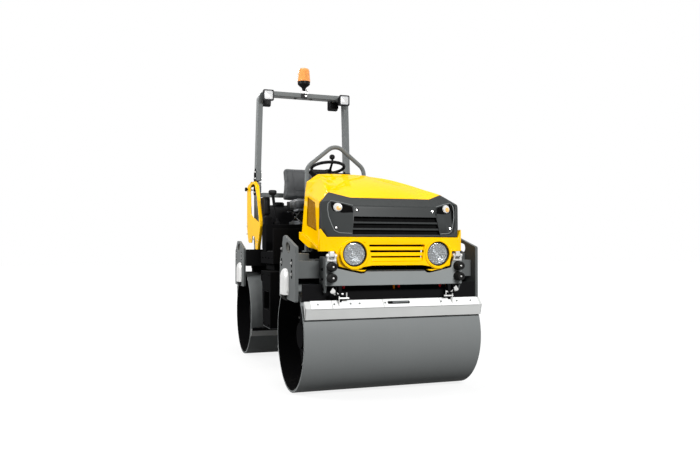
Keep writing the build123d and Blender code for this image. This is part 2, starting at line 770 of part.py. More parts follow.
with BuildPart() as beacon_dome:
    with BuildSketch(Plane.XZ.offset(-beacon_y)):
        with BuildLine():
            Polyline((0, beacon_seat), (62, beacon_seat), (58, beacon_seat + 106))
            ThreePointArc((58, beacon_seat + 106), (51, beacon_seat + 123), (34, beacon_seat + 130))
            Polyline((34, beacon_seat + 130), (0, beacon_seat + 130), (0, beacon_seat))
        make_face()
    revolve(axis=Axis((0, beacon_y, 0), (0, 0, 1)))
beacon_dome.part.label = "beacon_dome"
export_step(beacon_dome.part, "parts/beacon_dome.step")

with BuildPart() as tail_lamps:
    for side in sides:
        with BuildSketch(Plane.XZ.offset(-plate_front)):
            with Locations((side * (buffer_x - 91), 860)):
                RectangleRounded(130, 70, 12)
        extrude(amount=-34)
tail_lamps.part.label = "tail_lamps"
export_step(tail_lamps.part, "parts/tail_lamps.step")


# ---- scrapers and spray bars, one set on each frame ------------------------
# outer scraper section (distance from mid machine, height): top strip, then blade
blade = 8
scraper_half = half_drum - 3
for end_name, end in ends:
    with BuildPart() as scraper:
        with BuildSketch(Plane.YZ):
            with BuildLine():
                Polyline(
                    (end * (plate_front - 12), 612), (end * (plate_front + 26), 566), (end * (plate_front + 6), 498), (end * (plate_front - 2), 500),
                    (end * (plate_front + 17), 567), (end * (plate_front - 18), 606), close=True,
                )
            make_face()
        extrude(amount=scraper_half, both=True)
        for side in sides:
            with BuildSketch(Plane.YZ.offset(side * 372)):
                with BuildLine():
                    Polyline(
                        (end * plate_front, plate_bottom), (end * (plate_front - 30), plate_bottom), (end * (plate_front - 40), 660),
                        (end * (plate_front - 16), 606), (end * (plate_front + 4), 590), (end * plate_front, 640), close=True,
                    )
                make_face()
            extrude(amount=10, both=True)
        with BuildSketch(Plane.YZ):
            with BuildLine():
                Polyline((end * (axle_y - 324), 188), (end * (axle_y - 354), 254), (end * (axle_y - 362), 254), (end * (axle_y - 332), 188), close=True)
            make_face()
        extrude(amount=scraper_half, both=True)
        for side in sides:
            with BuildSketch(Plane.YZ.offset(side * 180)):
                with BuildLine():
                    Polyline(
                        (end * neck_far, 225), (end * (axle_y - 349), 225), (end * (axle_y - 362), 254), (end * (axle_y - 372), 335), (end * neck_far, 335),
                        close=True,
                    )
                make_face()
            extrude(amount=15, both=True)
    scraper.part.label = f"{end_name}_scrapers"
    export_step(scraper.part, f"parts/{end_name}_scrapers.step")

    with BuildPart() as spray_bar:
        with BuildSketch(Plane.YZ):
            with Locations((end * (plate_front - 55), 712)):
                Circle(11)
        extrude(amount=plate_half_width - 12, both=True)
    spray_bar.part.label = f"{end_name}_spray_bar"
    export_step(spray_bar.part, f"parts/{end_name}_spray_bar.step")


# ---- hood ------------------------------------------------------------------
# half section at each station, from the crown outwards: crown, dome, crease,
# shoulder, bend, fold, flank and sill, as (half width, height)
hood_stations = (
    (0, ((0, 1507), (112, 1505), (198, 1500), (212, 1494), (292, 1437), (302, 1366), (304, 1353), (328, 1054))),
    (0.2505, ((0, 1462), (122, 1459), (216, 1446), (262, 1455), (290, 1414), (314, 1372), (346, 1325), (366, 1025))),
    (0.5828, ((0, 1394), (136, 1389), (243, 1373), (330, 1377), (334, 1372), (338, 1366), (405, 1279), (415, 986))),
    (0.7464, ((0, 1352), (142, 1347), (253, 1333), (363, 1334), (370, 1326), (378, 1318), (434, 1257), (440, 967))),
    (0.9131, ((0, 1293), (148, 1290), (266, 1279), (397, 1290), (407, 1281), (417, 1272), (463, 1234), (465, 948))),
    (1, ((0, 1253), (150, 1252), (273, 1249), (414, 1262), (424, 1254), (434, 1246), (479, 1222), (479, 938))),
)
lip_drop = 54
lip_rear = 351
lip_front = 490
mask_wall = 22
# plan of the joint between hood and mask, then of the mask's front
mask_back = ((0, nose_rear + 5), (273, nose_rear + 5), (397, nose_rear + 85), (480, nose_rear))
mask_plan = ((482, nose_rear - 7), (443, nose_rear - 66), (300, nose_rear - 114))
bumper_plan = ((488, nose_rear), (486, nose_rear - 42), (447, nose_rear - 70), (300, nose_rear - 114))
mask_front = mask_plan[-1][1]
brow_z = 1196
brow_y = nose_rear - 82


def mirrored(points):
    """A half outline from the middle outwards, with its mirror image."""
    return [*points, *[(-x, y) for x, y in reversed(points) if x]]


def along(share):
    """A place between the hood's rear and its nose."""
    return hood_rear + share * (nose_rear - hood_rear)


def hood_body(inset):
    """The hood's outer form, drawn in by a wall: smooth lines from nose to rear, with straight strips between them."""
    lines = {1: [], -1: []}
    for side in sides:
        for index in range(len(hood_stations[0][1])):
            points = []
            for share, section in hood_stations:
                x, z = section[index]
                depth = inset if index < len(section) - 1 else min(inset, 1)
                points.append((side * max(x - inset, 0), along(share) - (min(inset, 1) if share else inset), z - depth))
            lines[side].append(Edge.make_spline(points))
    faces = [Face.make_surface_from_curves(lines[1][-1], lines[-1][-1])]
    for side in sides:
        faces += [Face.make_surface_from_curves(a, b) for a, b in zip(lines[side], lines[side][1:])]
    for end in (0, 1):
        rim = [line @ end for line in lines[1]] + [line @ end for line in reversed(lines[-1][1:])]
        faces.append(Face(Wire.make_polygon(rim, close=True)))
    return Solid(Shell(faces))


def through(a, b, c, inset):
    """The plane through three points of the mask, facing out, drawn in by a wall."""
    plane = Plane(origin=a, x_dir=Vector(b) - Vector(a), z_dir=(Vector(b) - Vector(a)).cross(Vector(c) - Vector(a)))
    if plane.to_local_coords(Vector(0, nose_rear, bumper_top)).Z > 0:
        plane = Plane(origin=a, x_dir=plane.x_dir, z_dir=-plane.z_dir)
    return plane.offset(-inset)


def mask_body(inset):
    """The mask's outer form, drawn in by a wall."""
    with BuildPart() as body:
        with BuildSketch(Plane.XY.offset(bumper_top + 1)):
            with BuildLine():
                Polyline(*mirrored([*mask_back, *mask_plan]), close=True)
            make_face()
        extrude(amount=320)
        facets = [((-300, mask_front, bumper_top), (300, mask_front, bumper_top), (0, brow_y, brow_z))]
        facets.append(((-283, brow_y, brow_z), (283, brow_y, brow_z), (0, nose_rear + 5, 1251)))
        for side in sides:
            brow_end = (side * 430, nose_rear - 32, 1224)
            cheek_top = (side * 397, nose_rear + 85, 1290)
            facets.append(((side * 300, mask_front, bumper_top), (side * 443, nose_rear - 66, bumper_top), (side * 283, brow_y, brow_z)))
            facets.append(((side * 273, nose_rear + 5, 1251), cheek_top, brow_end))
            facets.append(((side * 480, nose_rear, 1222), cheek_top, brow_end))
            facets.append(((side * 480, nose_rear, 1054), (side * 449, nose_rear - 57, 1004), (side * 449, nose_rear, 1004)))
            if inset:
                corner = (side * 482, nose_rear - 7)
                facets.append(((side * 443, nose_rear - 66, 1100), (*corner, 1100), (*corner, 1200)))
                facets.append(((side * 480, nose_rear, 1100), (*corner, 1100), (*corner, 1200)))
        for facet in facets:
            split(bisect_by=through(*facet, inset), keep=Keep.BOTTOM)
    return body.part


mesh_corners = [(along(share), z) for share, z in ((0.22, 1305), (0.7495, 1232), (0.864, 1040), (0.275, 1094))]
with BuildPart() as hood_shell:
    add(hood_body(0))
    add(hood_body(hood_wall), mode=Mode.SUBTRACT)
    for side in sides:
        for y, lip_x, (sill_x, sill_z) in ((hood_rear, lip_rear, hood_stations[0][1][-1]), (nose_rear, lip_front, hood_stations[-1][1][-1])):
            with BuildSketch(Plane.XZ.offset(-y)):
                with BuildLine():
                    lip = (
                        (sill_x - 11, sill_z + 9), (sill_x - 2, sill_z + 9), (lip_x, sill_z), (lip_x, sill_z - lip_drop),
                        (lip_x - 10, sill_z - lip_drop), (lip_x - 10, sill_z - 12), (sill_x - 11, sill_z - 12),
                    )
                    Polyline(*[(side * x, z) for x, z in lip], close=True)
                make_face()
        loft(ruled=True)
    with BuildSketch(Plane.XY.offset(700)):
        with BuildLine():
            Polyline(*mirrored([*mask_back[:3], (480.5, nose_rear), (520, nose_rear), (520, nose_rear - 200)]), close=True)
        make_face()
    extrude(amount=700, mode=Mode.SUBTRACT)
    with BuildSketch(Plane.YZ):
        with BuildLine():
            Polyline(*mesh_corners, close=True)
        make_face()
    extrude(amount=600, both=True, mode=Mode.SUBTRACT)
hood_shell.part.label = "hood_shell"
export_step(hood_shell.part, "parts/hood_shell.step")

with BuildPart() as side_mesh:
    add(hood_body(5))
    add(hood_body(8), mode=Mode.SUBTRACT)
    with BuildSketch(Plane.YZ):
        with BuildLine():
            Polyline(*mesh_corners, close=True)
        make_face()
        offset(amount=-0.3)
    extrude(amount=600, both=True, mode=Mode.INTERSECT)
side_mesh.part.label = "side_mesh"
export_step(side_mesh.part, "parts/side_mesh.step")

grille_top = 1128
grille_bottom = bumper_top + 4
indicator_pocket = ((412, 1218), (346, 1206), (290, 1188), (285, 1152), (348, 1150), (402, 1162), (414, 1190))
mask_bolts = ((259, 1168), (390, 1058))
with BuildPart() as hood_mask:
    add(mask_body(0))
    add(mask_body(mask_wall), mode=Mode.SUBTRACT)
    with BuildSketch(Plane.XZ.offset(plate_front - 52)):
        with BuildLine():
            Polyline((300, grille_bottom), (281, grille_top), (-281, grille_top), (-300, grille_bottom), close=True)
        make_face()
    extrude(amount=120, mode=Mode.SUBTRACT)
    for side in sides:
        with BuildPart(mode=Mode.SUBTRACT):
            with BuildSketch(Plane.XZ.offset(plate_front - 142)):
                with BuildLine():
                    Polyline(*[(side * x, z) for x, z in indicator_pocket], close=True)
                make_face()
            extrude(amount=160)
            add(mask_body(9), mode=Mode.SUBTRACT)
        with BuildSketch(Plane.XZ.offset(plate_front - 142)):
            with Locations((side * 371, 1185)):
                Circle(31)
        extrude(amount=160, mode=Mode.SUBTRACT)
        with BuildPart(mode=Mode.SUBTRACT):
            with BuildSketch(Plane.XZ.offset(plate_front - 142)):
                with Locations(*[(side * x, z) for x, z in mask_bolts]):
                    Circle(13)
            extrude(amount=160)
            add(mask_body(7), mode=Mode.SUBTRACT)
hood_mask.part.label = "hood_mask"
export_step(hood_mask.part, "parts/hood_mask.step")

# the grille lies in the plane of the mask's leaning front
mask_lean = (brow_y - mask_front) / (brow_z - bumper_top)
grille_depth = (mask_wall + 0.3) * sqrt(1 + mask_lean ** 2)
with BuildPart() as grille:
    with BuildSketch(Plane.YZ):
        with BuildLine():
            grille_back = [(mask_front + mask_lean * (z - bumper_top) + grille_depth, z) for z in (grille_bottom, grille_top + 10)]
            Polyline(*grille_back, *[(y + 8, z) for y, z in reversed(grille_back)], close=True)
        make_face()
    extrude(amount=296, both=True)
    add(mask_body(mask_wall + 0.3), mode=Mode.INTERSECT)
    for z in (1026, 1066, 1106):
        front_y = mask_front + 5 + mask_lean * (z - bumper_top)
        with BuildSketch(Plane.YZ):
            with BuildLine():
                Polyline((front_y, z), (front_y + 3, z + 9), (front_y + 24, z + 6), (front_y + 24, z - 8), close=True)
            make_face()
        extrude(amount=279 + (grille_top - z - 9) * 0.15, both=True)
grille.part.label = "grille"
export_step(grille.part, "parts/grille.step")

lobe = (
    (headlight_x - 108, 820), (headlight_x - 66, 788), (headlight_x - 44, 786), (headlight_x + 94, 818),
    (headlight_x + 116, 911), (488, 911),
)
headlight_z = 895
headlight_ring = 78
bezel_ring = 94
bezel_front = plate_front + 26
bumper_wall = 30
slat_front = plate_front + 15
corner_top = 1052
slot_corners = ((headlight_x - 95, 953), (headlight_x - 114, 848))
with BuildPart() as bumper:
    with BuildSketch(Plane.XY.offset(760)):
        with BuildLine():
            Polyline(*bumper_plan, *[(-x, y) for x, y in reversed(bumper_plan)], close=True)
        make_face()
    extrude(amount=corner_top - 760)
    with BuildSketch(Plane.XZ):
        with BuildLine():
            outline = [*lobe, (486, corner_top), (481, corner_top), (449, bumper_top)]
            Polyline(*outline, *[(-x, z) for x, z in reversed(outline)], close=True)
        make_face()
    extrude(amount=1400, mode=Mode.INTERSECT)
    with BuildSketch(Plane.XY.offset(760)):
        with BuildLine():
            Polyline(*bumper_plan, *[(-x, y) for x, y in reversed(bumper_plan)], close=True)
        make_face()
        offset(amount=-bumper_wall)
        with Locations((0, nose_rear - 8)):
            Rectangle(2 * (488 - bumper_wall), 2 * bumper_wall + 16)
    extrude(amount=320, mode=Mode.SUBTRACT)
    with BuildSketch(Plane.XZ.offset(plate_front - 10)):
        with Locations(*[(side * headlight_x, headlight_z) for side in sides]):
            Circle(bezel_ring)
    extrude(amount=bezel_front - plate_front + 10)
    with BuildSketch(Plane.XZ.offset(plate_front - 52)):
        with Locations(*[(side * headlight_x, headlight_z) for side in sides]):
            Circle(headlight_ring)
        with BuildLine():
            Polyline(*slot_corners, *[(-x, z) for x, z in reversed(slot_corners)], close=True)
        make_face()
    extrude(amount=120, mode=Mode.SUBTRACT)
    for z in (929, 893, 860):
        with BuildSketch(Plane.YZ):
            with BuildLine():
                Polyline((-slat_front, z - 11), (-slat_front + 8, z + 12), (8 - plate_front, z + 12), (8 - plate_front, z - 11), close=True)
            make_face()
        extrude(amount=headlight_x - 92, both=True)
bumper.part.label = "bumper"
export_step(bumper.part, "parts/bumper.step")

with BuildPart() as headlights:
    for side in sides:
        with BuildSketch(Plane.XZ.offset(plate_back)):
            with Locations((side * headlight_x, headlight_z)):
                Circle(headlight_ring - 1)
        extrude(amount=28)
headlights.part.label = "headlights"
export_step(headlights.part, "parts/headlights.step")

with BuildPart() as indicators:
    for side in sides:
        with BuildSketch(Plane.XZ.offset(plate_front - 52)):
            with Locations((side * 371, 1185)):
                Circle(30)
        extrude(amount=16)
indicators.part.label = "indicators"
export_step(indicators.part, "parts/indicators.step")

with BuildPart() as hinge_leaves:
    for side in sides:
        with BuildSketch(Plane.YZ.offset(side * hinge_x)):
            with BuildLine():
                Polyline((hood_hinge_y - 11, hood_hinge_z), (hood_hinge_y - 11, 911), (hood_hinge_y + 20, 911), (hood_hinge_y + 20, 900), (hood_hinge_y + 11, hood_hinge_z), close=True)
            make_face()
            with Locations((hood_hinge_y, hood_hinge_z)):
                Circle(11)
                Circle(pin_r + pin_clearance, mode=Mode.SUBTRACT)
        extrude(amount=15, both=True)
hinge_leaves.part.label = "hinge_leaves"
export_step(hinge_leaves.part, "parts/hinge_leaves.step")
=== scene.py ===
"""The visible tandem road roller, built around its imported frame.

+Z up, the front of the machine faces -Y and the operator's right is -X. Sizes
in the script are millimetres; meshes are metres, as Blender wants them.
"""
import json
from math import cos, hypot, pi, radians, sin, tan

import bmesh
import bpy
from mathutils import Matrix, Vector
from mathutils.bvhtree import BVHTree


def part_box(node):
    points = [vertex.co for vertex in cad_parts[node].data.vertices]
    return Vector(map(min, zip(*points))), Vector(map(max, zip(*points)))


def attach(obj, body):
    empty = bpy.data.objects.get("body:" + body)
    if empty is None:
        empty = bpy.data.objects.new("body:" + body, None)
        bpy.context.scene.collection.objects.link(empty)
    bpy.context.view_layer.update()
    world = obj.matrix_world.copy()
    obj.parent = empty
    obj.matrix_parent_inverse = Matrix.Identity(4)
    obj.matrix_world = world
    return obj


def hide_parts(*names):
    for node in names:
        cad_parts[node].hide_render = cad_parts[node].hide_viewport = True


bl_info = {
    "name": "Tandem road roller",
    "version": (1, 0, 0),
    "blender": (4, 5, 0),
    "location": "3D View > Sidebar > Roller",
    "description": "Builds the visible pieces of a ride-on tandem roller around its packed frame",
    "category": "Object",
}

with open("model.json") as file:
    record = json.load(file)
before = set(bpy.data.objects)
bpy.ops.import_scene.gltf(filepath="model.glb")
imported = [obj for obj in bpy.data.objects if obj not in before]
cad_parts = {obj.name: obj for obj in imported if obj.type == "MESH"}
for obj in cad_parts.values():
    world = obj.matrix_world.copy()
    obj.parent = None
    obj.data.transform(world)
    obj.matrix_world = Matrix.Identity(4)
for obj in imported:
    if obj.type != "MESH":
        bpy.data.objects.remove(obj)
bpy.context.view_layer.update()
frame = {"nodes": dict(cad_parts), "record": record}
MM = 0.001
BODY_OF = {node: body for body, nodes in frame["record"]["behaviour"]["bodies"].items() for node in nodes}
SLOT_OF = {part["node"]: part["material_slot"] for part in frame["record"]["subparts"]}
SIDES = (-1, 1)
ENDS = (("front", -1), ("rear", 1))
X = Vector((1, 0, 0))
Y = Vector((0, 1, 0))
Z = Vector((0, 0, 1))


def node_box(node):
    """A CAD node's lowest and highest corners, in millimetres."""
    low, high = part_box(node)
    return low / MM, high / MM


# ---------------------------------------------------------------- node trees
class Wire:
    """One output in a node tree, for use in Python expressions."""

    def __init__(self, sheet, socket):
        self.sheet = sheet
        self.socket = socket

    def output(self, name):
        return Wire(self.sheet, self.socket.node.outputs[name])

    def _maths(self, operation, *values):
        return self.sheet.node("ShaderNodeMath", {"operation": operation}, *values)

    def __add__(self, other):
        return self._maths("ADD", self, other)

    __radd__ = __add__

    def __sub__(self, other):
        return self._maths("SUBTRACT", self, other)

    def __rsub__(self, other):
        return self._maths("SUBTRACT", other, self)

    def __mul__(self, other):
        return self._maths("MULTIPLY", self, other)

    __rmul__ = __mul__

    def step(self, low, high):
        """0 below low, 1 above high, smooth between."""
        return self.sheet.node("ShaderNodeMapRange", {"interpolation_type": "SMOOTHSTEP"}, self, low, high, 0.0, 1.0)


class Sheet:
    """A node tree being written."""

    def __init__(self, tree):
        self.tree = tree

    def node(self, kind, settings=None, *values, **named):
        """A node: its settings first, then its values or links, by place or by name."""
        made = self.tree.nodes.new(kind)
        for key, value in (settings or {}).items():
            setattr(made, key, value)
        pairs = list(enumerate(values)) + [(key.replace("_", " "), value) for key, value in named.items()]
        for key, value in pairs:
            if value is not None:
                self.join(made.inputs[key], value)
        return Wire(self, [socket for socket in made.outputs if socket.enabled][0])

    def join(self, socket, value):
        if isinstance(value, Wire):
            self.tree.links.new(value.socket, socket)
        elif socket.type == "RGBA":
            socket.default_value = (*value[:3], 1.0)
        else:
            socket.default_value = value


class Finish(Sheet):
    """A material: its principled shader, and the nodes that feed it."""

    def __init__(self, name, colour, roughness=0.5, metallic=0.0, **constants):
        self.material = bpy.data.materials.new(name)
        self.material.use_nodes = True
        super().__init__(self.material.node_tree)
        self.shader = self.tree.nodes["Principled BSDF"]
        self.place = self.node("ShaderNodeTexCoord").output("Object")
        self.set(Base_Color=colour, Roughness=roughness, Metallic=metallic, **constants)

    def set(self, **values):
        for key, value in values.items():
            self.join(self.shader.inputs[key.replace("_", " ")], value)

    def scaled(self, x, y, z):
        return self.node("ShaderNodeVectorMath", {"operation": "MULTIPLY"}, self.place, (x, y, z))

    def noise(self, scale, detail=2.0, roughness=0.5, place=None):
        place = place or self.place
        return self.node("ShaderNodeTexNoise", {}, Vector=place, Scale=scale, Detail=detail, Roughness=roughness)

    def cells(self, scale, feature="DISTANCE_TO_EDGE"):
        return self.node("ShaderNodeTexVoronoi", {"feature": feature}, Vector=self.place, Scale=scale)

    def mix(self, factor, first, second):
        """Colours blended by a factor."""
        made = self.tree.nodes.new("ShaderNodeMix")
        made.data_type = "RGBA"
        for index, value in ((0, factor), (6, first), (7, second)):
            self.join(made.inputs[index], value)
        return Wire(self, made.outputs[2])

    def facing(self, x, y, z):
        """How far the surface's own normal points along a direction, from -1 to 1."""
        normal = self.node("ShaderNodeNewGeometry").output("Normal")
        product = self.node("ShaderNodeVectorMath", {"operation": "DOT_PRODUCT"}, normal, (x, y, z))
        return product.output("Value")

    def bump(self, height, strength, distance):
        self.set(Normal=self.node("ShaderNodeBump", {}, Strength=strength, Distance=distance, Height=height))


def shade(colour, amount):
    return tuple(channel * amount for channel in colour[:3])


# ---------------------------------------------------------------- finishes
def painted(name, colour, roughness, coat, dust=0.25, shine=0.25):
    """Sprayed paint: orange peel, faint cloudiness, and a little dust on what faces up."""
    finish = Finish(name, colour, roughness, Coat_Roughness=0.05, Coat_Weight=coat, Specular_IOR_Level=shine)
    cloud = finish.noise(4.0, 3.0)
    fine = finish.noise(55.0, 4.0, 0.6)
    settled_dust = finish.facing(0, 0, 1).step(0.75, 1.0) * fine.step(0.45, 0.75) * dust
    base = finish.mix(cloud.step(0.3, 0.75) * 0.4 + fine * 0.15, colour, shade(colour, 0.88))
    finish.set(
        Base_Color=finish.mix(settled_dust, base, (0.42, 0.39, 0.34)),
        Roughness=roughness - 0.04 + fine * 0.08 + settled_dust * 0.5,
    )
    finish.bump(finish.noise(420.0, 2.0) + fine * 0.2, 0.07, 0.0004)
    return finish.material


def moulded(name, colour, roughness, grain=900.0, depth=0.2):
    """Moulded plastic with a fine leather-like grain."""
    finish = Finish(name, colour, roughness, Specular_IOR_Level=0.0, Coat_Weight=0.12, Coat_Roughness=0.32)
    cloud = finish.noise(9.0, 3.0)
    finish.set(
        Base_Color=finish.mix(cloud * 0.6, colour, shade(colour, 0.78)),
        Roughness=roughness + cloud * 0.1 - 0.05,
    )
    finish.bump(finish.cells(grain).step(0.0, 0.25) + finish.noise(grain * 0.7, 2.0) * 0.5, depth, 0.0003)
    return finish.material


def rolled_steel(name, colour, roughness, metallic=0.35, polish=0.3):
    """Coated steel with streaks around the drum, polished where it runs."""
    finish = Finish(name, colour, roughness, metallic, Specular_IOR_Level=0.0, Coat_Weight=0.12, Coat_Roughness=0.4)
    streak = finish.noise(1.0, 5.0, 0.65, finish.scaled(160.0, 2.5, 2.5))
    cloud = finish.noise(4.0, 4.0, 0.6)
    speck = finish.noise(230.0, 2.0, 0.7)
    finish.set(
        Base_Color=finish.mix(streak * 0.5 + cloud * 0.5 - 0.05, shade(colour, 1 - polish), shade(colour, 1 + polish)),
        Roughness=roughness - 0.08 + streak * 0.1 + cloud * 0.08,
    )
    finish.bump(streak + speck * 0.5, 0.14, 0.0004)
    return finish.material


def plated(name, colour, roughness, grain=1.0, metallic=0.85):
    """Zinc plating: metal with small cloudy spangles and brushed scratches."""
    finish = Finish(name, colour, roughness, metallic)
    spangle = finish.node("ShaderNodeRGBToBW", {}, finish.cells(110.0 * grain, "F1").output("Color"))
    scratch = finish.noise(1.0, 4.0, 0.7, finish.scaled(700.0, 60.0, 60.0))
    finish.set(
        Base_Color=finish.mix(spangle * 0.4, colour, shade(colour, 0.82)),
        Roughness=roughness + spangle * 0.1 + scratch * 0.08 - 0.08,
    )
    finish.bump(scratch, 0.08, 0.0003)
    return finish.material


def vinyl(name, colour):
    """Seat cover: wrinkled leather grain with a soft sheen."""
    finish = Finish(name, colour, 0.5, Sheen_Weight=0.12, Sheen_Roughness=0.4, Specular_IOR_Level=0.3)
    fold = finish.noise(24.0, 4.0, 0.6)
    finish.set(
        Base_Color=finish.mix(fold, colour, shade(colour, 1.4)),
        Roughness=0.4 + fold * 0.16,
    )
    finish.bump(finish.cells(520.0).step(0.0, 0.3) * 0.6 + fold, 0.3, 0.0008)
    return finish.material


def rubber(name, colour):
    """Moulded rubber, dull and speckled."""
    finish = Finish(name, colour, 0.62, Specular_IOR_Level=0.06)
    speck = finish.noise(380.0, 3.0, 0.7)
    finish.set(Base_Color=finish.mix(speck, colour, shade(colour, 1.8)), Roughness=0.52 + speck * 0.25)
    finish.bump(speck, 0.25, 0.0005)
    return finish.material


def lens(name, colour, roughness, clearness, ribs=0.0, **constants):
    """A lamp's lens: tinted plastic, moulded with upright ribs where it spreads the light."""
    finish = Finish(name, colour, roughness, Transmission_Weight=clearness, IOR=1.45, **constants)
    flow = finish.noise(40.0, 2.0)
    finish.set(
        Base_Color=finish.mix(flow * 0.4, colour, shade(colour, 0.9)),
        Roughness=roughness + flow * 0.05,
    )
    if ribs:
        wave = finish.node("ShaderNodeTexWave", {"bands_direction": "X"}, Vector=finish.place, Scale=ribs)
        finish.bump(wave + flow * 0.1, 0.35, 0.0012)
    else:
        finish.bump(flow, 0.08, 0.0006)
    return finish.material


def black_and_painted_shade(name):
    """Flat black with no shine: painted shade for what lies behind a grille, a mesh or a slot and in the hollows of the
    mask and plates, and the display's own black.
    """
    finish = Finish(name, (0.004, 0.004, 0.004), 0.9, Specular_IOR_Level=0.0)
    finish.set(Base_Color=finish.mix(finish.noise(30.0), (0.003, 0.003, 0.003), (0.008, 0.008, 0.008)))
    return finish.material


MATERIALS = {}


def make_materials(colours):
    yellow = tuple(colours.paint)
    grey = tuple(colours.frame)
    MATERIALS.update(
        yellow=painted("gloss_yellow_paint", yellow, 0.34, 0.18, 0.03, 0.0),
        frame_grey=painted("satin_grey_paint", grey, 0.45, 0.0, 0.1, 0.04),
        rops_grey=painted("rail_grey_paint", tuple(colours.rail), 0.4, 0.0, 0.05, 0.1),
        # the rail grey made 1.6 times lighter: painted light for the front plate, lit by the front lamps more than the
        # other frames
        plate_grey=painted("plate_grey_paint", shade(tuple(colours.rail), 1.6), 0.4, 0.0, 0.05, 0.04),
        drum_steel=rolled_steel("drum_coating", tuple(colours.drum), 0.45, 0.0, 0.1),
        mask_grey=moulded("mask_plastic", tuple(colours.mask), 0.42),
        black_plastic=moulded("black_plastic", (0.01, 0.01, 0.011), 0.36),
        black_paint=painted("satin_black_paint", (0.009, 0.009, 0.0095), 0.5, 0.0, 0.04, 0.0),
        seat_vinyl=vinyl("seat_vinyl", (0.034, 0.036, 0.038)),
        seat_steel=painted("seat_frame_paint", (0.2, 0.21, 0.22), 0.45, 0.1, 0.1),
        rubber=rubber("buffer_rubber", (0.009, 0.009, 0.009)),
        zinc=plated("zinc_plate", (0.56, 0.56, 0.55), 0.34),
        chrome=plated("chrome_plate", (0.85, 0.86, 0.87), 0.1, 0.5, 1.0),
        reflector=plated("lamp_reflector", (0.42, 0.43, 0.44), 0.3, 0.5, 1.0),
        white_steel=plated("pale_galvanised", (0.62, 0.62, 0.61), 0.42, 0.4, 0.3),
        engine=painted("engine_paint", (0.05, 0.05, 0.052), 0.5, 0.0, 0.1, 0.1),
        lamp_glass=lens("lamp_lens", (0.75, 0.77, 0.78), 0.06, 0.92, ribs=30.0, Specular_IOR_Level=0.3),
        lamp_white=lens("lamp_diffuser", (0.66, 0.67, 0.68), 0.25, 0.1),
        amber=lens("amber_lens", (1.0, 0.42, 0.1), 0.12, 0.45, ribs=60.0),
        red_lens=lens("red_lens", (0.6, 0.012, 0.012), 0.1, 0.2, ribs=60.0),
        white_lens=lens("frosted_lens", (0.8, 0.8, 0.78), 0.2, 0.3),
        bulb=lens("bulb_lens", (0.85, 0.5, 0.16), 0.2, 0.1),
        nozzle_red=moulded("nozzle_red", (0.6, 0.01, 0.015), 0.4),
        nozzle_orange=moulded("nozzle_orange", (0.9, 0.25, 0.0), 0.4),
        # near black with no shine: painted shade where it fills hollows and openings; on the display it is the screen's
        # own black
        gap=black_and_painted_shade("grille_gap"),
        # the body yellow darkened to the amber it shows in shade: painted shade on the side mesh
        mesh_yellow=painted("mesh_yellow_paint", (yellow[0] * 0.5, yellow[1] * 0.41, 0.0), 0.5, 0.0, 0.02, 0.03),
        scraper_white=painted("scraper_strip_paint", (0.82, 0.83, 0.82), 0.45, 0.0, 0.06, 0.05),
        scraper_blade=moulded("scraper_urethane", (0.58, 0.59, 0.58), 0.48, 400.0, 0.1),
    )


# ---------------------------------------------------------------- mesh helpers
def new_object(name, mesh):
    made = bpy.data.objects.new(name, mesh)
    bpy.context.scene.collection.objects.link(made)
    return made


def raw_object(name, bm):
    """A mesh object straight from its faces."""
    mesh = bpy.data.meshes.new(name)
    bm.to_mesh(mesh)
    bm.free()
    return new_object(name, mesh)

def from_bmesh(name, bm, smooth_angle=32.0):
    """A mesh object with smooth faces, sharp only along its real edges."""
    bmesh.ops.recalc_face_normals(bm, faces=bm.faces)
    for face in bm.faces:
        face.smooth = True
    for edge in bm.edges:
        edge.smooth = edge.calc_face_angle(0.0) < radians(smooth_angle)
    return raw_object(name, bm)


def modified(obj, kind, **settings):
    modifier = obj.modifiers.new(kind.lower(), kind)
    for key, value in settings.items():
        setattr(modifier, key, value)
    return obj


def rounded(obj, width, segments=2, angle=32.0):
    """Rounds the real edges of a piece."""
    return modified(
        obj, "BEVEL", width=width * MM, segments=segments, limit_method="ANGLE", angle_limit=radians(angle),
        use_clamp_overlap=False, harden_normals=True, miter_outer="MITER_ARC",
    )


def settled(obj):
    """The object with its modifiers worked into its mesh."""
    bpy.context.view_layer.update()
    evaluated = obj.evaluated_get(bpy.context.evaluated_depsgraph_get())
    mesh = bpy.data.meshes.new_from_object(evaluated)
    old = obj.data
    obj.modifiers.clear()
    obj.data = mesh
    bpy.data.meshes.remove(old)
    return obj


def placed(obj, body, material, *replaced, slot=None):
    """Gives a finished piece its material, its body, and the CAD nodes it stands for."""
    obj.data.materials.clear()
    obj.data.materials.append(MATERIALS[material])
    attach(obj, body)
    if replaced:
        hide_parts(*replaced)
    return obj


def dressed(node, width=2.0, segments=2, material=None, angle=32.0, second=None, where=None):
    """A merged copy of a CAD node with rounded edges, and a second finish where a test on a face's centre holds."""
    bm = bmesh.new()
    bm.from_mesh(frame["nodes"][node].data)
    bmesh.ops.remove_doubles(bm, verts=bm.verts, dist=2e-5)
    bmesh.ops.dissolve_limit(bm, angle_limit=radians(0.6), verts=bm.verts, edges=bm.edges)
    obj = from_bmesh(node + "_skin", bm, angle)
    if width:
        settled(rounded(obj, width, segments, angle))
    placed(obj, BODY_OF[node], material or SLOT_OF[node], node, slot=SLOT_OF[node])
    return two_toned(obj, second, where) if second else obj


def two_toned(obj, second, where):
    """Gives a second finish to the faces whose centre, in millimetres, passes a test."""
    obj.data.materials.append(MATERIALS[second])
    for polygon in obj.data.polygons:
        if where(polygon.center / MM):
            polygon.material_index = 1
    return obj


def soft_corner(before, here, after, reach, steps=5):
    """A corner rounded by a reach, which stops short of half its sides."""
    to_before, to_after = before - here, after - here
    reach = min(reach, to_before.length * 0.48, to_after.length * 0.48)
    if reach < 0.2:
        return [tuple(here)]
    start = here + to_before.normalized() * reach
    end = here + to_after.normalized() * reach
    shares = [step / steps for step in range(steps + 1)]
    return [tuple(start * (1 - t) ** 2 + here * 2 * t * (1 - t) + end * t ** 2) for t in shares]

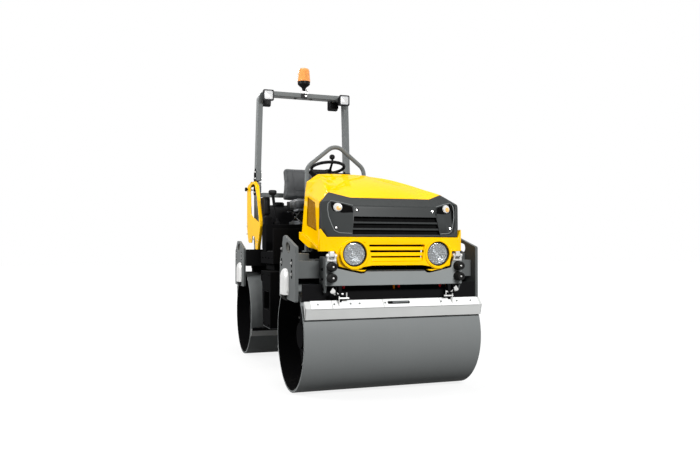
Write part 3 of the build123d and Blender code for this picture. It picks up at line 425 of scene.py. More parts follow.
def softened(outline, radius, steps=5):
    """A flat outline with its corners rounded."""
    result = []
    for index in range(len(outline)):
        before, here, after = (Vector(outline[i % len(outline)]) for i in (index - 1, index, index + 1))
        result += soft_corner(before, here, after, radius, steps)
    return result

def flipped(sign, outline):
    """An outline whose first coordinate takes a sign."""
    return [(sign * a, b) for a, b in outline]

def mirrored(half):
    """A half outline and its mirror image, with a point on the middle line kept once."""
    return [*half, *flipped(-1, [point for point in reversed(half) if point[0]])]

def circle(radius, count, centre=(0, 0), start=0.0):
    return [
        (centre[0] + radius * cos(start + 2 * pi * i / count), centre[1] + radius * sin(start + 2 * pi * i / count))
        for i in range(count)
    ]


def box_outline(low, high, radius=0.0, steps=4):
    corners = ((low[0], low[1]), (high[0], low[1]), (high[0], high[1]), (low[0], high[1]))
    return softened(corners, radius, steps) if radius else list(corners)


def frame_along(way):
    """Two directions square to a way, and to each other."""
    way = Vector(way).normalized()
    across = X.cross(way) if abs(way.x) < 0.9 else Y.cross(way)
    across.normalize()
    return across, way.cross(across)


class Form:
    """A piece being made: closed solids gathered in one mesh, in millimetres."""

    def __init__(self):
        self.bm = bmesh.new()

    def loft(self, rings, closed=False):
        """Skins a run of rings with as many points each."""
        rows = [[self.bm.verts.new(Vector(point) * MM) for point in ring] for ring in rings]
        if closed:
            rows.append(rows[0])
        for first, second in zip(rows, rows[1:]):
            for index in range(len(first)):
                after = (index + 1) % len(first)
                self.bm.faces.new((first[index], first[after], second[after], second[index]))
        if not closed:
            self.bm.faces.new(rows[0])
            self.bm.faces.new(rows[-1])
        return self

    def prism(self, outline, axis, low, high):
        """Pushes a flat outline along an axis: x takes (y, z), y takes (x, z) and z takes (x, y)."""
        place = {"x": lambda a, b, d: (d, a, b), "y": lambda a, b, d: (a, d, b), "z": lambda a, b, d: (a, b, d)}[axis]
        return self.loft([[place(point[0], point[1], depth) for point in outline] for depth in (low, high)])

    def block(self, corner, opposite):
        """A box between two opposite corners."""
        low, high = zip(*(sorted(pair) for pair in zip(corner, opposite)))
        return self.prism(box_outline(low[:2], high[:2]), "z", low[2], high[2])

    def slab(self, outline, origin, across, up, low, high):
        """Pushes an outline drawn in a leaning plane along the plane's normal."""
        origin, across, up = Vector(origin), Vector(across).normalized(), Vector(up).normalized()
        normal = across.cross(up)
        rings = [[origin + across * p[0] + up * p[1] + normal * depth for p in outline] for depth in (low, high)]
        return self.loft(rings)

    def lathe(self, profile, centre, way, segments=40):
        """Turns a profile of (distance along, radius) about a line. Ends on the line close the form."""
        centre, way = Vector(centre), Vector(way).normalized()
        across, up = frame_along(way)
        rows = []
        for along, radius in profile:
            middle = centre + way * along
            if radius < 0.01:
                rows.append([self.bm.verts.new(middle * MM)])
                continue
            turns = [2 * pi * i / segments for i in range(segments)]
            ring = [middle + across * radius * cos(turn) + up * radius * sin(turn) for turn in turns]
            rows.append([self.bm.verts.new(point * MM) for point in ring])
        if len(rows[0]) > 1 and len(rows[-1]) > 1:
            rows.append(rows[0])
        for first, second in zip(rows, rows[1:]):
            for index in range(segments):
                after = (index + 1) % segments
                corners = [first[index % len(first)], first[after % len(first)]]
                corners += [second[after % len(second)], second[index % len(second)]]
                distinct = list(dict.fromkeys(corners))
                if len(distinct) > 2:
                    self.bm.faces.new(distinct)
        return self

    def rod(self, start, end, radius, segments=24):
        """A round bar between two points."""
        start, end = Vector(start), Vector(end)
        length = (end - start).length
        return self.lathe(((0, 0), (0, radius), (length, radius), (length, 0)), start, end - start, segments)

    def tube(self, path, radius, bend=0.0, segments=16):
        """A pipe or bar along a path with rounded corners."""
        points = bent_path([Vector(point) for point in path], bend)
        outline = circle(radius, segments)
        across, up = frame_along(points[1] - points[0])
        rings = []
        for index, point in enumerate(points):
            ahead = points[min(index + 1, len(points) - 1)] - point
            behind = point - points[max(index - 1, 0)]
            way = (ahead.normalized() + behind.normalized()).normalized()
            across = (across - way * across.dot(way)).normalized()
            up = way.cross(across)
            rings.append([point + across * a + up * b for a, b in outline])
        return self.loft(rings)

    def object(self, name, width=1.5, segments=2, angle=32.0, smooth=None):
        """The finished mesh object, its edges rounded by a width."""
        obj = from_bmesh(name, self.bm, smooth or angle)
        if width:
            settled(rounded(obj, width, segments, angle))
        return obj

    def piece(self, name, body, material, *replaced, slot=None, **edges):
        """The finished piece, riding on its body."""
        return placed(self.object(name, **edges), body, material, *replaced, slot=slot)



def bent_path(points, bend, steps=8):
    """A path whose corners are rounded to a bend."""
    if not bend:
        return points
    result = [points[0]]
    for before, here, after in zip(points, points[1:], points[2:]):
        to_before, to_after = before - here, after - here
        turn = pi - to_before.angle(to_after)
        reach = min(bend * tan(turn / 2), to_before.length * 0.49, to_after.length * 0.49)
        start = here + to_before.normalized() * reach
        end = here + to_after.normalized() * reach
        for step in range(steps + 1):
            t = step / steps
            weight = cos(turn / 2)
            total = (1 - t) ** 2 + 2 * weight * t * (1 - t) + t ** 2
            result.append((start * (1 - t) ** 2 + here * 2 * weight * t * (1 - t) + end * t ** 2) / total)
    return [*result, points[-1]]


# ---------------------------------------------------------------- geometry nodes
SOCKETS = {"float": "NodeSocketFloat", "material": "NodeSocketMaterial"}


class Recipe(Sheet):
    """A Geometry Nodes tree with named inputs, which ends in plain geometry of one material."""

    def __init__(self, name, **inputs):
        super().__init__(bpy.data.node_groups.new(name, "GeometryNodeTree"))
        self.sockets = {}
        face = self.tree.interface
        face.new_socket("Geometry", in_out="INPUT", socket_type="NodeSocketGeometry")
        for key, (kind, value) in inputs.items():
            socket = face.new_socket(key, in_out="INPUT", socket_type=SOCKETS[kind])
            if value is not None:
                socket.default_value = value
            self.sockets[key] = socket.identifier
        face.new_socket("Geometry", in_out="OUTPUT", socket_type="NodeSocketGeometry")
        self.source = self.tree.nodes.new("NodeGroupInput")

    def input(self, name):
        return Wire(self, self.source.outputs[name])

    def close(self, result):
        """Realizes, gives the material and sends the result out."""
        result = self.node("GeometryNodeRealizeInstances", {}, result)
        result = self.node("GeometryNodeSetMaterial", {}, Geometry=result, Material=self.input("material"))
        out = self.tree.nodes.new("NodeGroupOutput")
        self.tree.links.new(result.socket, out.inputs["Geometry"])
        return self

    def run(self, obj, material, **values):
        """Works the recipe into an object's mesh."""
        modifier = obj.modifiers.new("recipe", "NODES")
        modifier.node_group = self.tree
        for key, value in {"material": MATERIALS[material], **values}.items():
            modifier[self.sockets[key]] = value
        return settled(obj)


RECIPES = {}


def bolt_recipe(name, sides, height, collar, dished):
    """Bolt heads, on points that carry a direction and a size."""
    recipe = Recipe(name, material=("material", None), height=("float", height), collar=("float", collar))
    head = recipe.node("GeometryNodeMeshCylinder", {}, Vertices=sides, Radius=1.0, Depth=recipe.input("height"))
    top = recipe.node("ShaderNodeCombineXYZ", {}, Z=recipe.input("height") * 0.5 + 0.2)
    head = recipe.node("GeometryNodeTransform", {}, Geometry=head, Translation=top)
    washer = recipe.node("GeometryNodeMeshCylinder", {}, Vertices=18, Radius=recipe.input("collar"), Depth=0.24)
    washer = recipe.node("GeometryNodeTransform", {}, Geometry=washer, Translation=(0, 0, 0.12))
    joined = recipe.tree.nodes.new("GeometryNodeJoinGeometry")
    recipe.tree.links.new(washer.socket, joined.inputs[0])
    recipe.tree.links.new(head.socket, joined.inputs[0])
    shape = Wire(recipe, joined.outputs[0])
    if dished:
        dome = recipe.node("GeometryNodeMeshUVSphere", {}, Segments=12, Rings=6, Radius=0.75)
        dome = recipe.node("GeometryNodeTransform", {}, Geometry=dome, Translation=top, Scale=(1, 1, 0.6))
        recipe.tree.links.new(dome.socket, joined.inputs[0])
    way = recipe.node("GeometryNodeInputNamedAttribute", {"data_type": "FLOAT_VECTOR"}, Name="way")
    size = recipe.node("GeometryNodeInputNamedAttribute", {"data_type": "FLOAT"}, Name="size")
    turn = recipe.node("FunctionNodeAlignRotationToVector", {"axis": "Z"}, Vector=way)
    spread = recipe.node(
        "GeometryNodeInstanceOnPoints", {}, Points=recipe.input("Geometry"), Instance=shape, Rotation=turn, Scale=size
    )
    return recipe.close(spread)


def bolts(name, body, spots, kind="hex", material="zinc", slot=None):
    """Bolt heads at spots of (point, direction, head radius), in millimetres."""
    if kind not in RECIPES:
        sides, height, collar, dished = {"hex": (6, 0.8, 1.35, False), "cap": (16, 0.9, 1.2, True)}[kind]
        RECIPES[kind] = bolt_recipe(kind + "_heads", sides, height, collar, dished)
    mesh = bpy.data.meshes.new(name)
    mesh.from_pydata([Vector(point) * MM for point, _, _ in spots], [], [])
    mesh.attributes.new("way", "FLOAT_VECTOR", "POINT")
    mesh.attributes.new("size", "FLOAT", "POINT")
    mesh.attributes["way"].data.foreach_set("vector", [part for _, way, _ in spots for part in way])
    mesh.attributes["size"].data.foreach_set("value", [radius * MM for _, _, radius in spots])
    obj = RECIPES[kind].run(new_object(name, mesh), material)
    return placed(obj, body, material, slot=slot or "zinc")


# ---------------------------------------------------------------- settings
def tint(name, description, default):
    """A colour among the settings."""
    return bpy.props.FloatVectorProperty(
        name=name, description=description, subtype="COLOR", default=default, min=0, max=1
    )

class RollerColours(bpy.types.PropertyGroup):
    """Colours of the main finishes"""

    paint: tint("Body paint", "Colour of the hood and panels", (1.0, 0.55, 0.0))
    frame: tint("Frame paint", "Colour of the two frames", (0.105, 0.112, 0.112))
    rail: tint("Rail paint", "Colour of the roll bar and handrail", (0.15, 0.16, 0.16))
    drum: tint("Drum coating", "Colour of the drums", (0.18, 0.19, 0.19))
    mask: tint("Mask plastic", "Colour of the moulded mask", (0.04, 0.043, 0.043))


class RollerStudio(bpy.types.PropertyGroup):
    """Floor and camera"""

    floor_size: bpy.props.FloatProperty(
        name="Floor size", description="Side of the square floor", default=60.0, unit="LENGTH"
    )
    eye: bpy.props.FloatVectorProperty(
        name="Camera place", description="Where the camera stands", default=(-1.6687, -5.1598, 0.9415), unit="LENGTH"
    )
    heading: bpy.props.FloatProperty(
        name="Heading", description="Turn of the camera from straight back", default=radians(18.97), unit="ROTATION"
    )
    tilt: bpy.props.FloatProperty(
        name="Tilt", description="Rise of the camera above level", default=radians(1.14), unit="ROTATION"
    )
    lens: bpy.props.FloatProperty(name="Lens", description="Focal length in millimetres", default=34.93)


# ---------------------------------------------------------------- stage
def soft_lamp(name, place, aim, size, power):
    lamp = bpy.data.lights.new(name, "AREA")
    lamp.shape = "RECTANGLE"
    lamp.size, lamp.size_y = size
    lamp.energy = power
    obj = bpy.data.objects.new(name, lamp)
    obj.location = place
    obj.rotation_euler = (Vector(aim) - Vector(place)).to_track_quat("-Z", "Y").to_euler()
    bpy.context.scene.collection.objects.link(obj)


def seen_directly(sheet):
    """1 for camera, glossy and transmission rays, and 0 for the light itself."""
    rays = sheet.node("ShaderNodeLightPath")
    larger = {"operation": "MAXIMUM"}
    either = sheet.node("ShaderNodeMath", larger, rays.output("Is Camera Ray"), rays.output("Is Glossy Ray"))
    return sheet.node("ShaderNodeMath", larger, either, rays.output("Is Transmission Ray"))


def build_stage(studio):
    scene = bpy.context.scene
    scene.view_settings.view_transform = "Standard"
    world = bpy.data.worlds.new("studio")
    world.use_nodes = True
    scene.world = world
    sky = Sheet(world.node_tree)
    background = world.node_tree.nodes["Background"]
    sky.join(background.inputs["Color"], (1, 1, 1))
    sky.join(background.inputs["Strength"], seen_directly(sky) * 0.9 + 0.1)

    bm = bmesh.new()
    bmesh.ops.create_grid(bm, x_segments=4, y_segments=4, size=studio.floor_size / 2)
    floor = from_bmesh("floor", bm)
    finish = Finish("studio_floor", (0.16, 0.16, 0.16), 0.95, Specular_IOR_Level=0.0)
    # the floor's own glow is 0.84 within 1.5 m of the middle and rises to 1.04 by 6 m: painted shade round the machine,
    # fading into the white backdrop further out
    distance = finish.node("ShaderNodeVectorMath", {"operation": "LENGTH"}, finish.place).output("Value")
    glow = finish.node("ShaderNodeEmission", {}, Color=(1, 1, 1), Strength=distance.step(1.5, 6.0) * 0.2 + 0.84)
    dark = finish.node("ShaderNodeEmission", {}, Color=(0, 0, 0), Strength=0.0)
    gate = finish.node("ShaderNodeMixShader", {}, seen_directly(finish), dark, glow)
    both = finish.node("ShaderNodeAddShader", {}, Wire(finish, finish.shader.outputs[0]), gate)
    finish.tree.links.new(both.socket, finish.tree.nodes["Material Output"].inputs["Surface"])
    floor.data.materials.append(finish.material)

    soft_lamp("overhead", (0.2, 0.2, 5.2), (0, 0, 0.5), (4.0, 3.0), 118)
    soft_lamp("left", (-5.2, 0.1, 2.8), (0, -0.2, 0.9), (2.4, 2.0), 265)
    soft_lamp("right", (5.2, 0.3, 2.6), (0, 0.2, 0.9), (2.4, 2.0), 80)
    soft_lamp("front", (0.6, -6.0, 3.4), (0, -1.2, 0.5), (2.6, 0.8), 400)
    soft_lamp("behind", (-1.3, 5.2, 4.6), (0, 0, 1.2), (3.0, 1.2), 140)

    camera = bpy.data.cameras.new("camera")
    camera.sensor_width = 36.0
    camera.lens = studio.lens
    camera.clip_end = 200.0
    obj = bpy.data.objects.new("camera", camera)
    obj.location = studio.eye
    obj.rotation_euler = (pi / 2 + studio.tilt, 0.0, -studio.heading)
    scene.collection.objects.link(obj)
    scene.camera = obj


# ---------------------------------------------------------------- drums
AXLE_Y = 850
AXLE_Z = 360
DRUM_R = 360
DRUM_HALF = 600


def build_drums():
    """Each drum: its smooth shell, black inside as painted shade, and the black ends with their hub and bolts."""
    for name, end in ENDS:
        body = name + "_drum"
        axle = (end * AXLE_Y, AXLE_Z)
        middle = (0, *axle)
        shell = ((-DRUM_HALF, DRUM_R), (DRUM_HALF, DRUM_R), (DRUM_HALF, DRUM_R - 18), (-DRUM_HALF, DRUM_R - 18))
        tube = Form().lathe(shell, middle, X, 160)
        tube = tube.piece(body + "_shell", body, "drum_steel", body, width=3.5, segments=3)
        # the shell's inner face takes black paint: painted shade inside the drum
        two_toned(tube, "black_paint", lambda at: hypot(at.y - end * AXLE_Y, at.z - AXLE_Z) < DRUM_R - 14)
        heads = Form()
        spots = []
        for side in SIDES:
            out = (side, 0, 0)
            profile = (
                (434, 0), (434, 341.5), (452, 341.5), (452, 318), (446, 312), (446, 150), (450, 140), (450, 96),
                (470, 92), (470, 42), (499, 40), (499, 0),
            )
            heads.lathe(profile, middle, out, 96)
            # how many bolts, on what radius, how far out, how big, and the angle of the first
            for count, reach, x, size, first in ((12, 328, 452, 7, pi / 12), (8, 66, 470, 8, 0.0)):
                spots += [((side * x, y, z), out, size) for y, z in circle(reach, count, axle, first)]
            for inner, outer in zip(circle(150, 6, axle), circle(310, 6, axle)):
                heads.rod((side * 447, *inner), (side * 447, *outer), 7, 8)
        heads.piece(body + "_ends", body, "black_paint", slot="drum_steel", width=1.5)
        bolts(body + "_bolts", body, spots, slot="drum_steel")


# ---------------------------------------------------------------- side plates and hose covers
# bolts in their oval pockets: (distance outwards from the axle, height)
PLATE_BOLTS = {
    "front": ((-93, 928), (-103, 838), (169, 837), (169, 767)),
    "rear": ((190, 924), (190, 884), (190, 834), (-76, 878), (-76, 840), (-76, 793)),
}


def build_side_plates():
    """Side plates with their bolts, black on their inner faces and black pads in the bolt pockets as painted shade, and
    the pale covers over the hoses.
    """
    for name, end in ENDS:
        body = name + "_frame"
        tall = 24 if end < 0 else 11
        # faces inward of 609 mm from the middle take black paint: painted shade on the inner side of the plates
        dressed(name + "_side_plates", 3.0, second="black_paint", where=lambda centre: abs(centre.x) < 609)
        pads = Form()
        spots = []
        for side in SIDES:
            out = (side, 0, 0)
            for offset, z in PLATE_BOLTS[name]:
                y = end * (AXLE_Y + offset)
                oval = box_outline((y - 15, z - tall - 4), (y + 15, z + tall + 4), 15)
                pads.prism(oval, "x", side * 629, side * 632.6)
                spots.append(((side * 632, y, z), out, 7 if end < 0 else 5.5))
        # flat black pads in the oval pockets: painted shade in the recesses
        pads.piece(name + "_plate_pockets", body, "gap", slot="frame_grey", width=0)
        bolts(name + "_plate_bolts", body, spots)
    build_hose_covers()


def build_hose_covers():
    """Pressed covers on the side plates, closed by a dome above, with the hose ends below."""
    # the section: (place along the plate, depth)
    across = (
        (-84, 0), (-74, 0), (-62, 14), (-48, 23), (-10, 25.5), (40, 25), (62, 22), (70, 17), (73, 15), (80, 10),
        (88, 0), (94, 0),
    )
    for name, end in ENDS:
        body = name + "_frame"
        covers = Form()
        hoses = Form()
        spots = []
        for side in SIDES:
            rings = []
            for level in range(19):
                rise = min(1.0, level / 11)
                close = sin(pi / 2 * min(1.0, (18 - level) / 7)) if level > 11 else 1.0
                z = 632 + 112 * rise + 56 * sin(pi / 2 * max(0, level - 11) / 7)
                narrow = 0.3 + 0.7 * close
                ring = [(side * (632 + depth * close), end * (AXLE_Y + 3 + spot * narrow), z) for spot, depth in across]
                back = [(side * 631, y, z) for _, y, _ in reversed(ring)]
                rings.append(ring + back)
            covers.loft(rings)
            for spot, z in ((-88, 752), (-88, 668), (94, 650)):
                y = end * (AXLE_Y + spot * 0.9)
                tab = box_outline((y - 11, z - 13), (y + 11, z + 13), 8)
                covers.prism(tab, "x", side * 631, side * 635)
                spots.append(((side * 635, y, z), (side, 0, 0), 6))
            for spot in (-34, 0, 34):
                y = end * (AXLE_Y + spot)
                hoses.tube(((side * 640, y, 664), (side * 640, y, 618), (side * 622, y + end * 8, 600)), 11, 20, 14)
                for z in (622, 634):
                    hoses.rod((side * 640, y, z), (side * 640, y, z + 6), 13.5, 18)
        covers.piece(name + "_hose_cover_shells", body, "white_steel", name + "_hose_covers", width=0.8, angle=40)
        hoses.piece(name + "_hose_ends", body, "rubber", width=0.8)
        bolts(name + "_hose_cover_bolts", body, spots, slot="white_steel")


# ---------------------------------------------------------------- frames and joint
def build_frames():
    """The two frames, with the plates, eyes and bolts they carry."""
    dressed("front_chassis", 4.0)
    # the front plate takes the lighter grey as painted light
    dressed("front_plate", 3.0, material="plate_grey")
    dressed("rear_chassis", 4.0, second="black_paint", where=lambda centre: centre.y < 1150)
    for name, end in ENDS:
        spots = [((side * 462, end * 1130, z), (side, 0, 0), 7) for side in SIDES for z in (740, 800)]
        bolts(name + "_frame_bolts", name + "_frame", spots, kind="cap", material="black_paint", slot="frame_grey")


def build_articulation():
    """Joint block, king pin, and the steering cylinder with its chromed rod."""
    dressed("joint_block", 3.0)
    dressed("king_pin", 3.0, material="zinc")
    dressed("steering_barrel", 2.5, material="black_paint")
    dressed("steering_rod", 2.0, material="chrome")
    gland = Form()
    start, way = Vector((165, 300, 545)), Vector((-55, -300, 0)).normalized()
    for along, radius in ((170, 30.5), (176, 27)):
        gland.lathe(((0, 14.2), (0, radius), (6, radius), (6, 14.2)), start + way * along, way, 32)
    gland.piece("steering_gland", "steering_barrel", "zinc", width=0.6)
    caps = [((0, 0, 627), (0, 0, 1), 12)]
    caps += [((x, y, 627), (0, 0, 1), 5) for x, y in circle(34, 4)]
    bolts("king_pin_bolts", BODY_OF["king_pin"], caps)


def build_engine():
    """A small diesel: ribbed block, rocker cover, pulleys, fan, exhaust and air filter."""
    low, high = node_box("engine_block")
    base = low.z
    block = Form()
    block.block((-180, low.y + 60, base), (180, high.y - 60, base + 200))
    block.block((-120, low.y + 70, base + 196), (120, high.y - 70, base + 268))
    for index in range(8):
        y = low.y + 84 + index * 52
        for side in SIDES:
            block.block((side * 178, y, base + 30), (side * 196, y + 16, base + 180))
    block.piece("engine_casting", "front_frame", "engine", "engine_block", width=5)
    cover = Form()
    cover.prism(box_outline((-96, base + 262), (96, base + 325), 24), "y", low.y + 80, high.y - 84)
    for index in range(4):
        cover.lathe(((0, 0), (0, 24), (9, 20), (9, 0)), (0, low.y + 130 + index * 95, base + 324), Z, 24)
    cover.rod((-205, low.y + 140, base + 268), (-205, low.y + 400, base + 268), 15, 24)
    cover.rod((-150, low.y + 120, base + 268), (-150, low.y + 420, base + 268), 48, 40)
    cover.piece("engine_covers", "front_frame", "black_plastic", slot="engine", width=3)
    drive = Form()
    face = low.y + 60
    pulley = ((0, 0), (0, 1.0), (8, 1.0), (13, 0.86), (18, 1.0), (26, 1.0), (26, 0))
    for x, z, radius in ((0, base + 82, 76), (0, base + 226, 46), (-118, base + 200, 34)):
        drive.lathe([(along, share * radius) for along, share in pulley], (x, face, z), -Y, 40)
    hub = Vector((0, face - 32, base + 226))
    for blade in range(7):
        turn = 2 * pi * blade / 7
        way = Vector((cos(turn), 0, sin(turn)))
        flat = Vector((-sin(turn) * 0.8, 0.6, cos(turn) * 0.8))
        drive.slab(((20, -16), (88, -22), (96, 0), (88, 22), (20, 16)), hub, way, flat, -1.2, 1.2)
    drive.piece("engine_fan_drive", "front_frame", "zinc", slot="engine", width=1.2)
    pipes = Form()
    pipes.tube(((118, low.y + 110, base + 232), (170, low.y + 110, base + 232), (170, low.y + 440, base + 232)), 20, 40)
    for index in range(3):
        y = low.y + 190 + index * 90
        pipes.tube(((110, y, base + 232), (170, y, base + 232)), 14)
    pipes.piece("engine_manifold", "front_frame", "black_paint", slot="engine", width=1.5)


# ---------------------------------------------------------------- buffers and hinges
def build_buffers():
    """Ribbed rubber buffers with a bolt sunk in the middle."""
    profile = (
        (0, 0), (0, 30), (8, 30), (12, 27.5), (20, 29), (26, 26.5), (34, 28), (40, 25.5), (50, 26.5), (57, 24),
        (60, 20), (60, 13), (52, 11), (52, 0),
    )
    for name, end in ENDS:
        rubbers = Form()
        spots = []
        for side in SIDES:
            for z in (750, 818):
                centre = (side * 431, end * 1202, z)
                rubbers.lathe(profile, centre, (0, end, 0), 40)
                spots.append(((side * 431, end * 1254, z), (0, end, 0), 4.2))
        rubbers.piece(name + "_buffer_rubbers", name + "_frame", "rubber", name + "_buffers", width=1.2)
        bolts(name + "_buffer_bolts", name + "_frame", spots)


def build_hinges():
    """Hood hinges: forked brackets on the plate, and the leaves on the hood, with their bolts."""
    dressed("hood_hinges", 1.2)
    dressed("hinge_leaves", 1.5)
    foot_spots = []
    leaf_spots = []
    ends = Form()
    for side in SIDES:
        x = side * 428
        foot_spots += [((x + offset, -1210, 858), (0, -1, 0), 3.6) for offset in (-22, -8, 8, 22)]
        leaf_spots += [((x + offset, -1216, 902), (0, -1, 0), 3.4) for offset in (-8, 8)]
        for way in SIDES:
            ends.lathe(((0, 0), (0, 11), (4, 11), (6, 9), (6, 0)), (x + way * 28, -1205, 885), (way, 0, 0), 20)
    bolts("hinge_foot_bolts", "front_frame", foot_spots)
    bolts("hinge_leaf_bolts", "hood", leaf_spots)
    ends.piece("hinge_pin_ends", "front_frame", "zinc", width=0.5)


# ---------------------------------------------------------------- scrapers and spray bars
def build_scrapers():
    """Scraper strips with their bolts, white blades, adjusters, inner blades and arms."""
    for name, end in ENDS:
        body = name + "_frame"
        face = Vector((0, end * 0.771, 0.637))
        strip = Form()
        section = flipped(end, ((1194, 612), (1229, 569.5), (1231, 564), (1226, 563), (1189, 608)))
        for left, right in ((-561, -428), (-426, -93), (-91, 300), (302, 575)):
            strip.prism(section, "x", left, right)
        spots = []
        for x in (-517, -413, -308, -249, -80, 307, 420, 519):
            spots.append(((x, end * 1212 + face.y, 590.5), face, 4.2))
        strip.piece(name + "_scraper_strip", body, "scraper_white", name + "_scrapers", slot="white_steel", width=1.0)
        bolts(name + "_scraper_bolts", body, spots, material="rops_grey", slot="white_steel")
        blade = Form()
        section = flipped(
            end, ((1221, 572), (1226, 566), (1207, 498), (1200, 500), (1217, 566), (1186, 603), (1190, 608))
        )
        blade.prism(section, "x", -597, 597)
        for side in SIDES:
            flange = flipped(end, ((1186, 603), (1176, 596), (1198, 520), (1207, 498), (1226, 566)))
            blade.prism(flange, "x", side * 592, side * 597)
        blade.piece(name + "_scraper_blade", body, "scraper_blade", slot="white_steel", width=0.8)
        build_adjusters(name, end, body)
        inner = Form()
        inner.prism(flipped(end, ((526, 188), (496, 254), (488, 254), (518, 188))), "x", -597, 597)
        inner.piece(name + "_inner_scraper", body, "scraper_blade", slot="white_steel", width=0.8)
        arms = Form()
        for side in SIDES:
            outline = flipped(end, ((470, 225), (501, 225), (488, 254), (478, 335), (470, 335)))
            arms.prism(outline, "x", side * 165, side * 195)
        arms.block((-590, end * 484, 236), (590, end * 488, 262))
        arms.piece(name + "_inner_scraper_arms", body, "black_paint", slot="frame_grey", width=1.5)


def build_adjusters(name, end, body):
    """Slotted brackets, lift rods with T handles, and the nozzles of the spray bar."""
    arms = Form()
    rods = Form()
    for side in SIDES:
        bracket = flipped(end, ((1201, 700), (1172, 700), (1162, 660), (1184, 612), (1204, 596), (1206, 640)))
        arms.prism(softened(bracket, 5), "x", side * 362, side * 382)
        tongue = flipped(end, ((1206, 698), (1180, 698), (1190, 650), (1222, 640)))
        arms.prism(softened(tongue, 4), "x", side * 396, side * 402)
        rods.rod((side * 384, end * 1218, 578), (side * 384, end * 1222, 640), 4, 12)
        rods.rod((side * 322, end * 1222, 626), (side * 388, end * 1222, 626), 5.5, 14)
        rods.rod((side * 337, end * 1222, 626), (side * 337, end * 1224, 660), 4, 12)
        rods.rod((side * 350, end * 1196, 650), (side * 410, end * 1196, 650), 7, 16)
        handle = flipped(side, ((358, 643), (372, 640), (420, 690), (438, 664), (430, 655)))
        rods.prism(softened(handle, 3), "y", end * 1203, end * 1206)
    arms.piece(name + "_adjuster_arms", body, "black_paint", slot="frame_grey", width=1.2)
    rods.piece(name + "_adjuster_rods", body, "zinc", width=0.8)
    catch = Form()
    up = Vector((0, -end * 0.637, 0.771))
    middle = (0, end * 1212, 590.5)
    catch.slab(box_outline((-62, -10), (87, 10), 8), middle, X, up, 3 * end, -3.5 * end)
    catch.piece(name + "_scraper_catch", body, "black_paint", slot="frame_grey", width=0.8)
    grip = Form()
    grip.slab(box_outline((-30, -5), (78, 5), 3), middle, X, up, -3 * end, -5.5 * end)
    grip.piece(name + "_scraper_catch_lever", body, "rops_grey", slot="frame_grey", width=0.8)
    dressed(name + "_spray_bar", 0, material="black_paint")
    red = Form()
    orange = Form()
    clamps = Form()
    for x in (-333, 39, 330):
        red.lathe(((0, 0), (0, 9), (14, 9), (20, 6), (22, 0)), (x, end * 1150, 700), -Z, 18)
    for x in (-365, 6, 380):
        orange.lathe(((0, 0), (0, 7), (22, 7), (28, 4), (30, 0)), (x, end * 1146, 702), -Z, 16)
    skirt = Form().block((-596, end * 1126, 603), (596, end * 1130, 708))
    for x in (-400, -200, -10, 200, 400):
        clamps.lathe(((-9, 11), (-9, 15), (9, 15), (9, 11)), (x, end * 1147, 712), X, 24)
        skirt.block((x - 8, end * 1129, 704), (x + 8, end * 1136, 716))
    skirt.piece(name + "_spray_skirt", body, "black_paint", slot="black_plastic", width=1.0)
    red.piece(name + "_nozzles_red", body, "nozzle_red", slot="black_plastic", width=0.6)
    orange.piece(name + "_nozzles_orange", body, "nozzle_orange", slot="black_plastic", width=0.6)
    clamps.piece(name + "_spray_clamps", body, "black_plastic", width=0.8)


# ---------------------------------------------------------------- hood
HOOD_REAR = -130
NOSE_REAR = -1108
# half section at each share of the length, from the crown outwards
HOOD_STATIONS = (
    (0, ((0, 1507), (112, 1505), (198, 1500), (212, 1494), (292, 1437), (302, 1366), (304, 1353), (328, 1054))),
    (0.2505, ((0, 1462), (122, 1459), (216, 1446), (262, 1455), (290, 1414), (314, 1372), (346, 1325), (366, 1025))),
    (0.5828, ((0, 1394), (136, 1389), (243, 1373), (330, 1377), (334, 1372), (338, 1366), (405, 1279), (415, 986))),
    (0.7464, ((0, 1352), (142, 1347), (253, 1333), (363, 1334), (370, 1326), (378, 1318), (434, 1257), (440, 967))),
    (0.9131, ((0, 1293), (148, 1290), (266, 1279), (397, 1290), (407, 1281), (417, 1272), (463, 1234), (465, 948))),
    (1, ((0, 1253), (150, 1252), (273, 1249), (414, 1262), (424, 1254), (434, 1246), (479, 1222), (479, 938))),
)
# how far the rounding of each line reaches: crown, dome, crease, shoulder, bend, fold, flank, sill, lip
HOOD_SOFTNESS = (40, 60, 14, 8, 5, 5, 9, 2, 6)
LIP_DROP = 54
MESH_CORNERS = ((0.22, 1305), (0.7495, 1232), (0.864, 1040), (0.275, 1094))


def hood_y(share):
    return HOOD_REAR + share * (NOSE_REAR - HOOD_REAR)


def natural_spline(knots, values):
    """A function for the smooth line through values at knots, straight at both ends."""
    count = len(knots)
    gaps = [b - a for a, b in zip(knots, knots[1:])]
    slopes = [(b - a) / gap for a, b, gap in zip(values, values[1:], gaps)]
    right, upper = [0.0] * count, [0.0] * count
    for i in range(1, count - 1):
        below = gaps[i - 1]
        pivot = 2 * (gaps[i - 1] + gaps[i]) - below * upper[i - 1]
        upper[i] = gaps[i] / pivot
        right[i] = (6 * (slopes[i] - slopes[i - 1]) - below * right[i - 1]) / pivot
    bends = [0.0] * count
    for i in range(count - 2, 0, -1):
        bends[i] = right[i] - upper[i] * bends[i + 1]

    def at(place):
        i = max(k for k in range(count - 1) if knots[k] <= place or k == 0)
        gap, left, over = gaps[i], place - knots[i], knots[i + 1] - place
        curve = (bends[i] * over ** 3 + bends[i + 1] * left ** 3) / (6 * gap)
        near, far = (values[k] / gap - bends[k] * gap / 6 for k in (i, i + 1))
        return curve + near * over + far * left

    return at


def hood_lines():
    """The hood's lengthwise lines, as pairs of functions of the share of its length."""
    shares = [share for share, _ in HOOD_STATIONS]
    lines = []
    for index in range(len(HOOD_STATIONS[0][1])):
        points = [section[index] for _, section in HOOD_STATIONS]
        lines.append(tuple(natural_spline(shares, [point[part] for point in points]) for part in (0, 1)))
    return lines


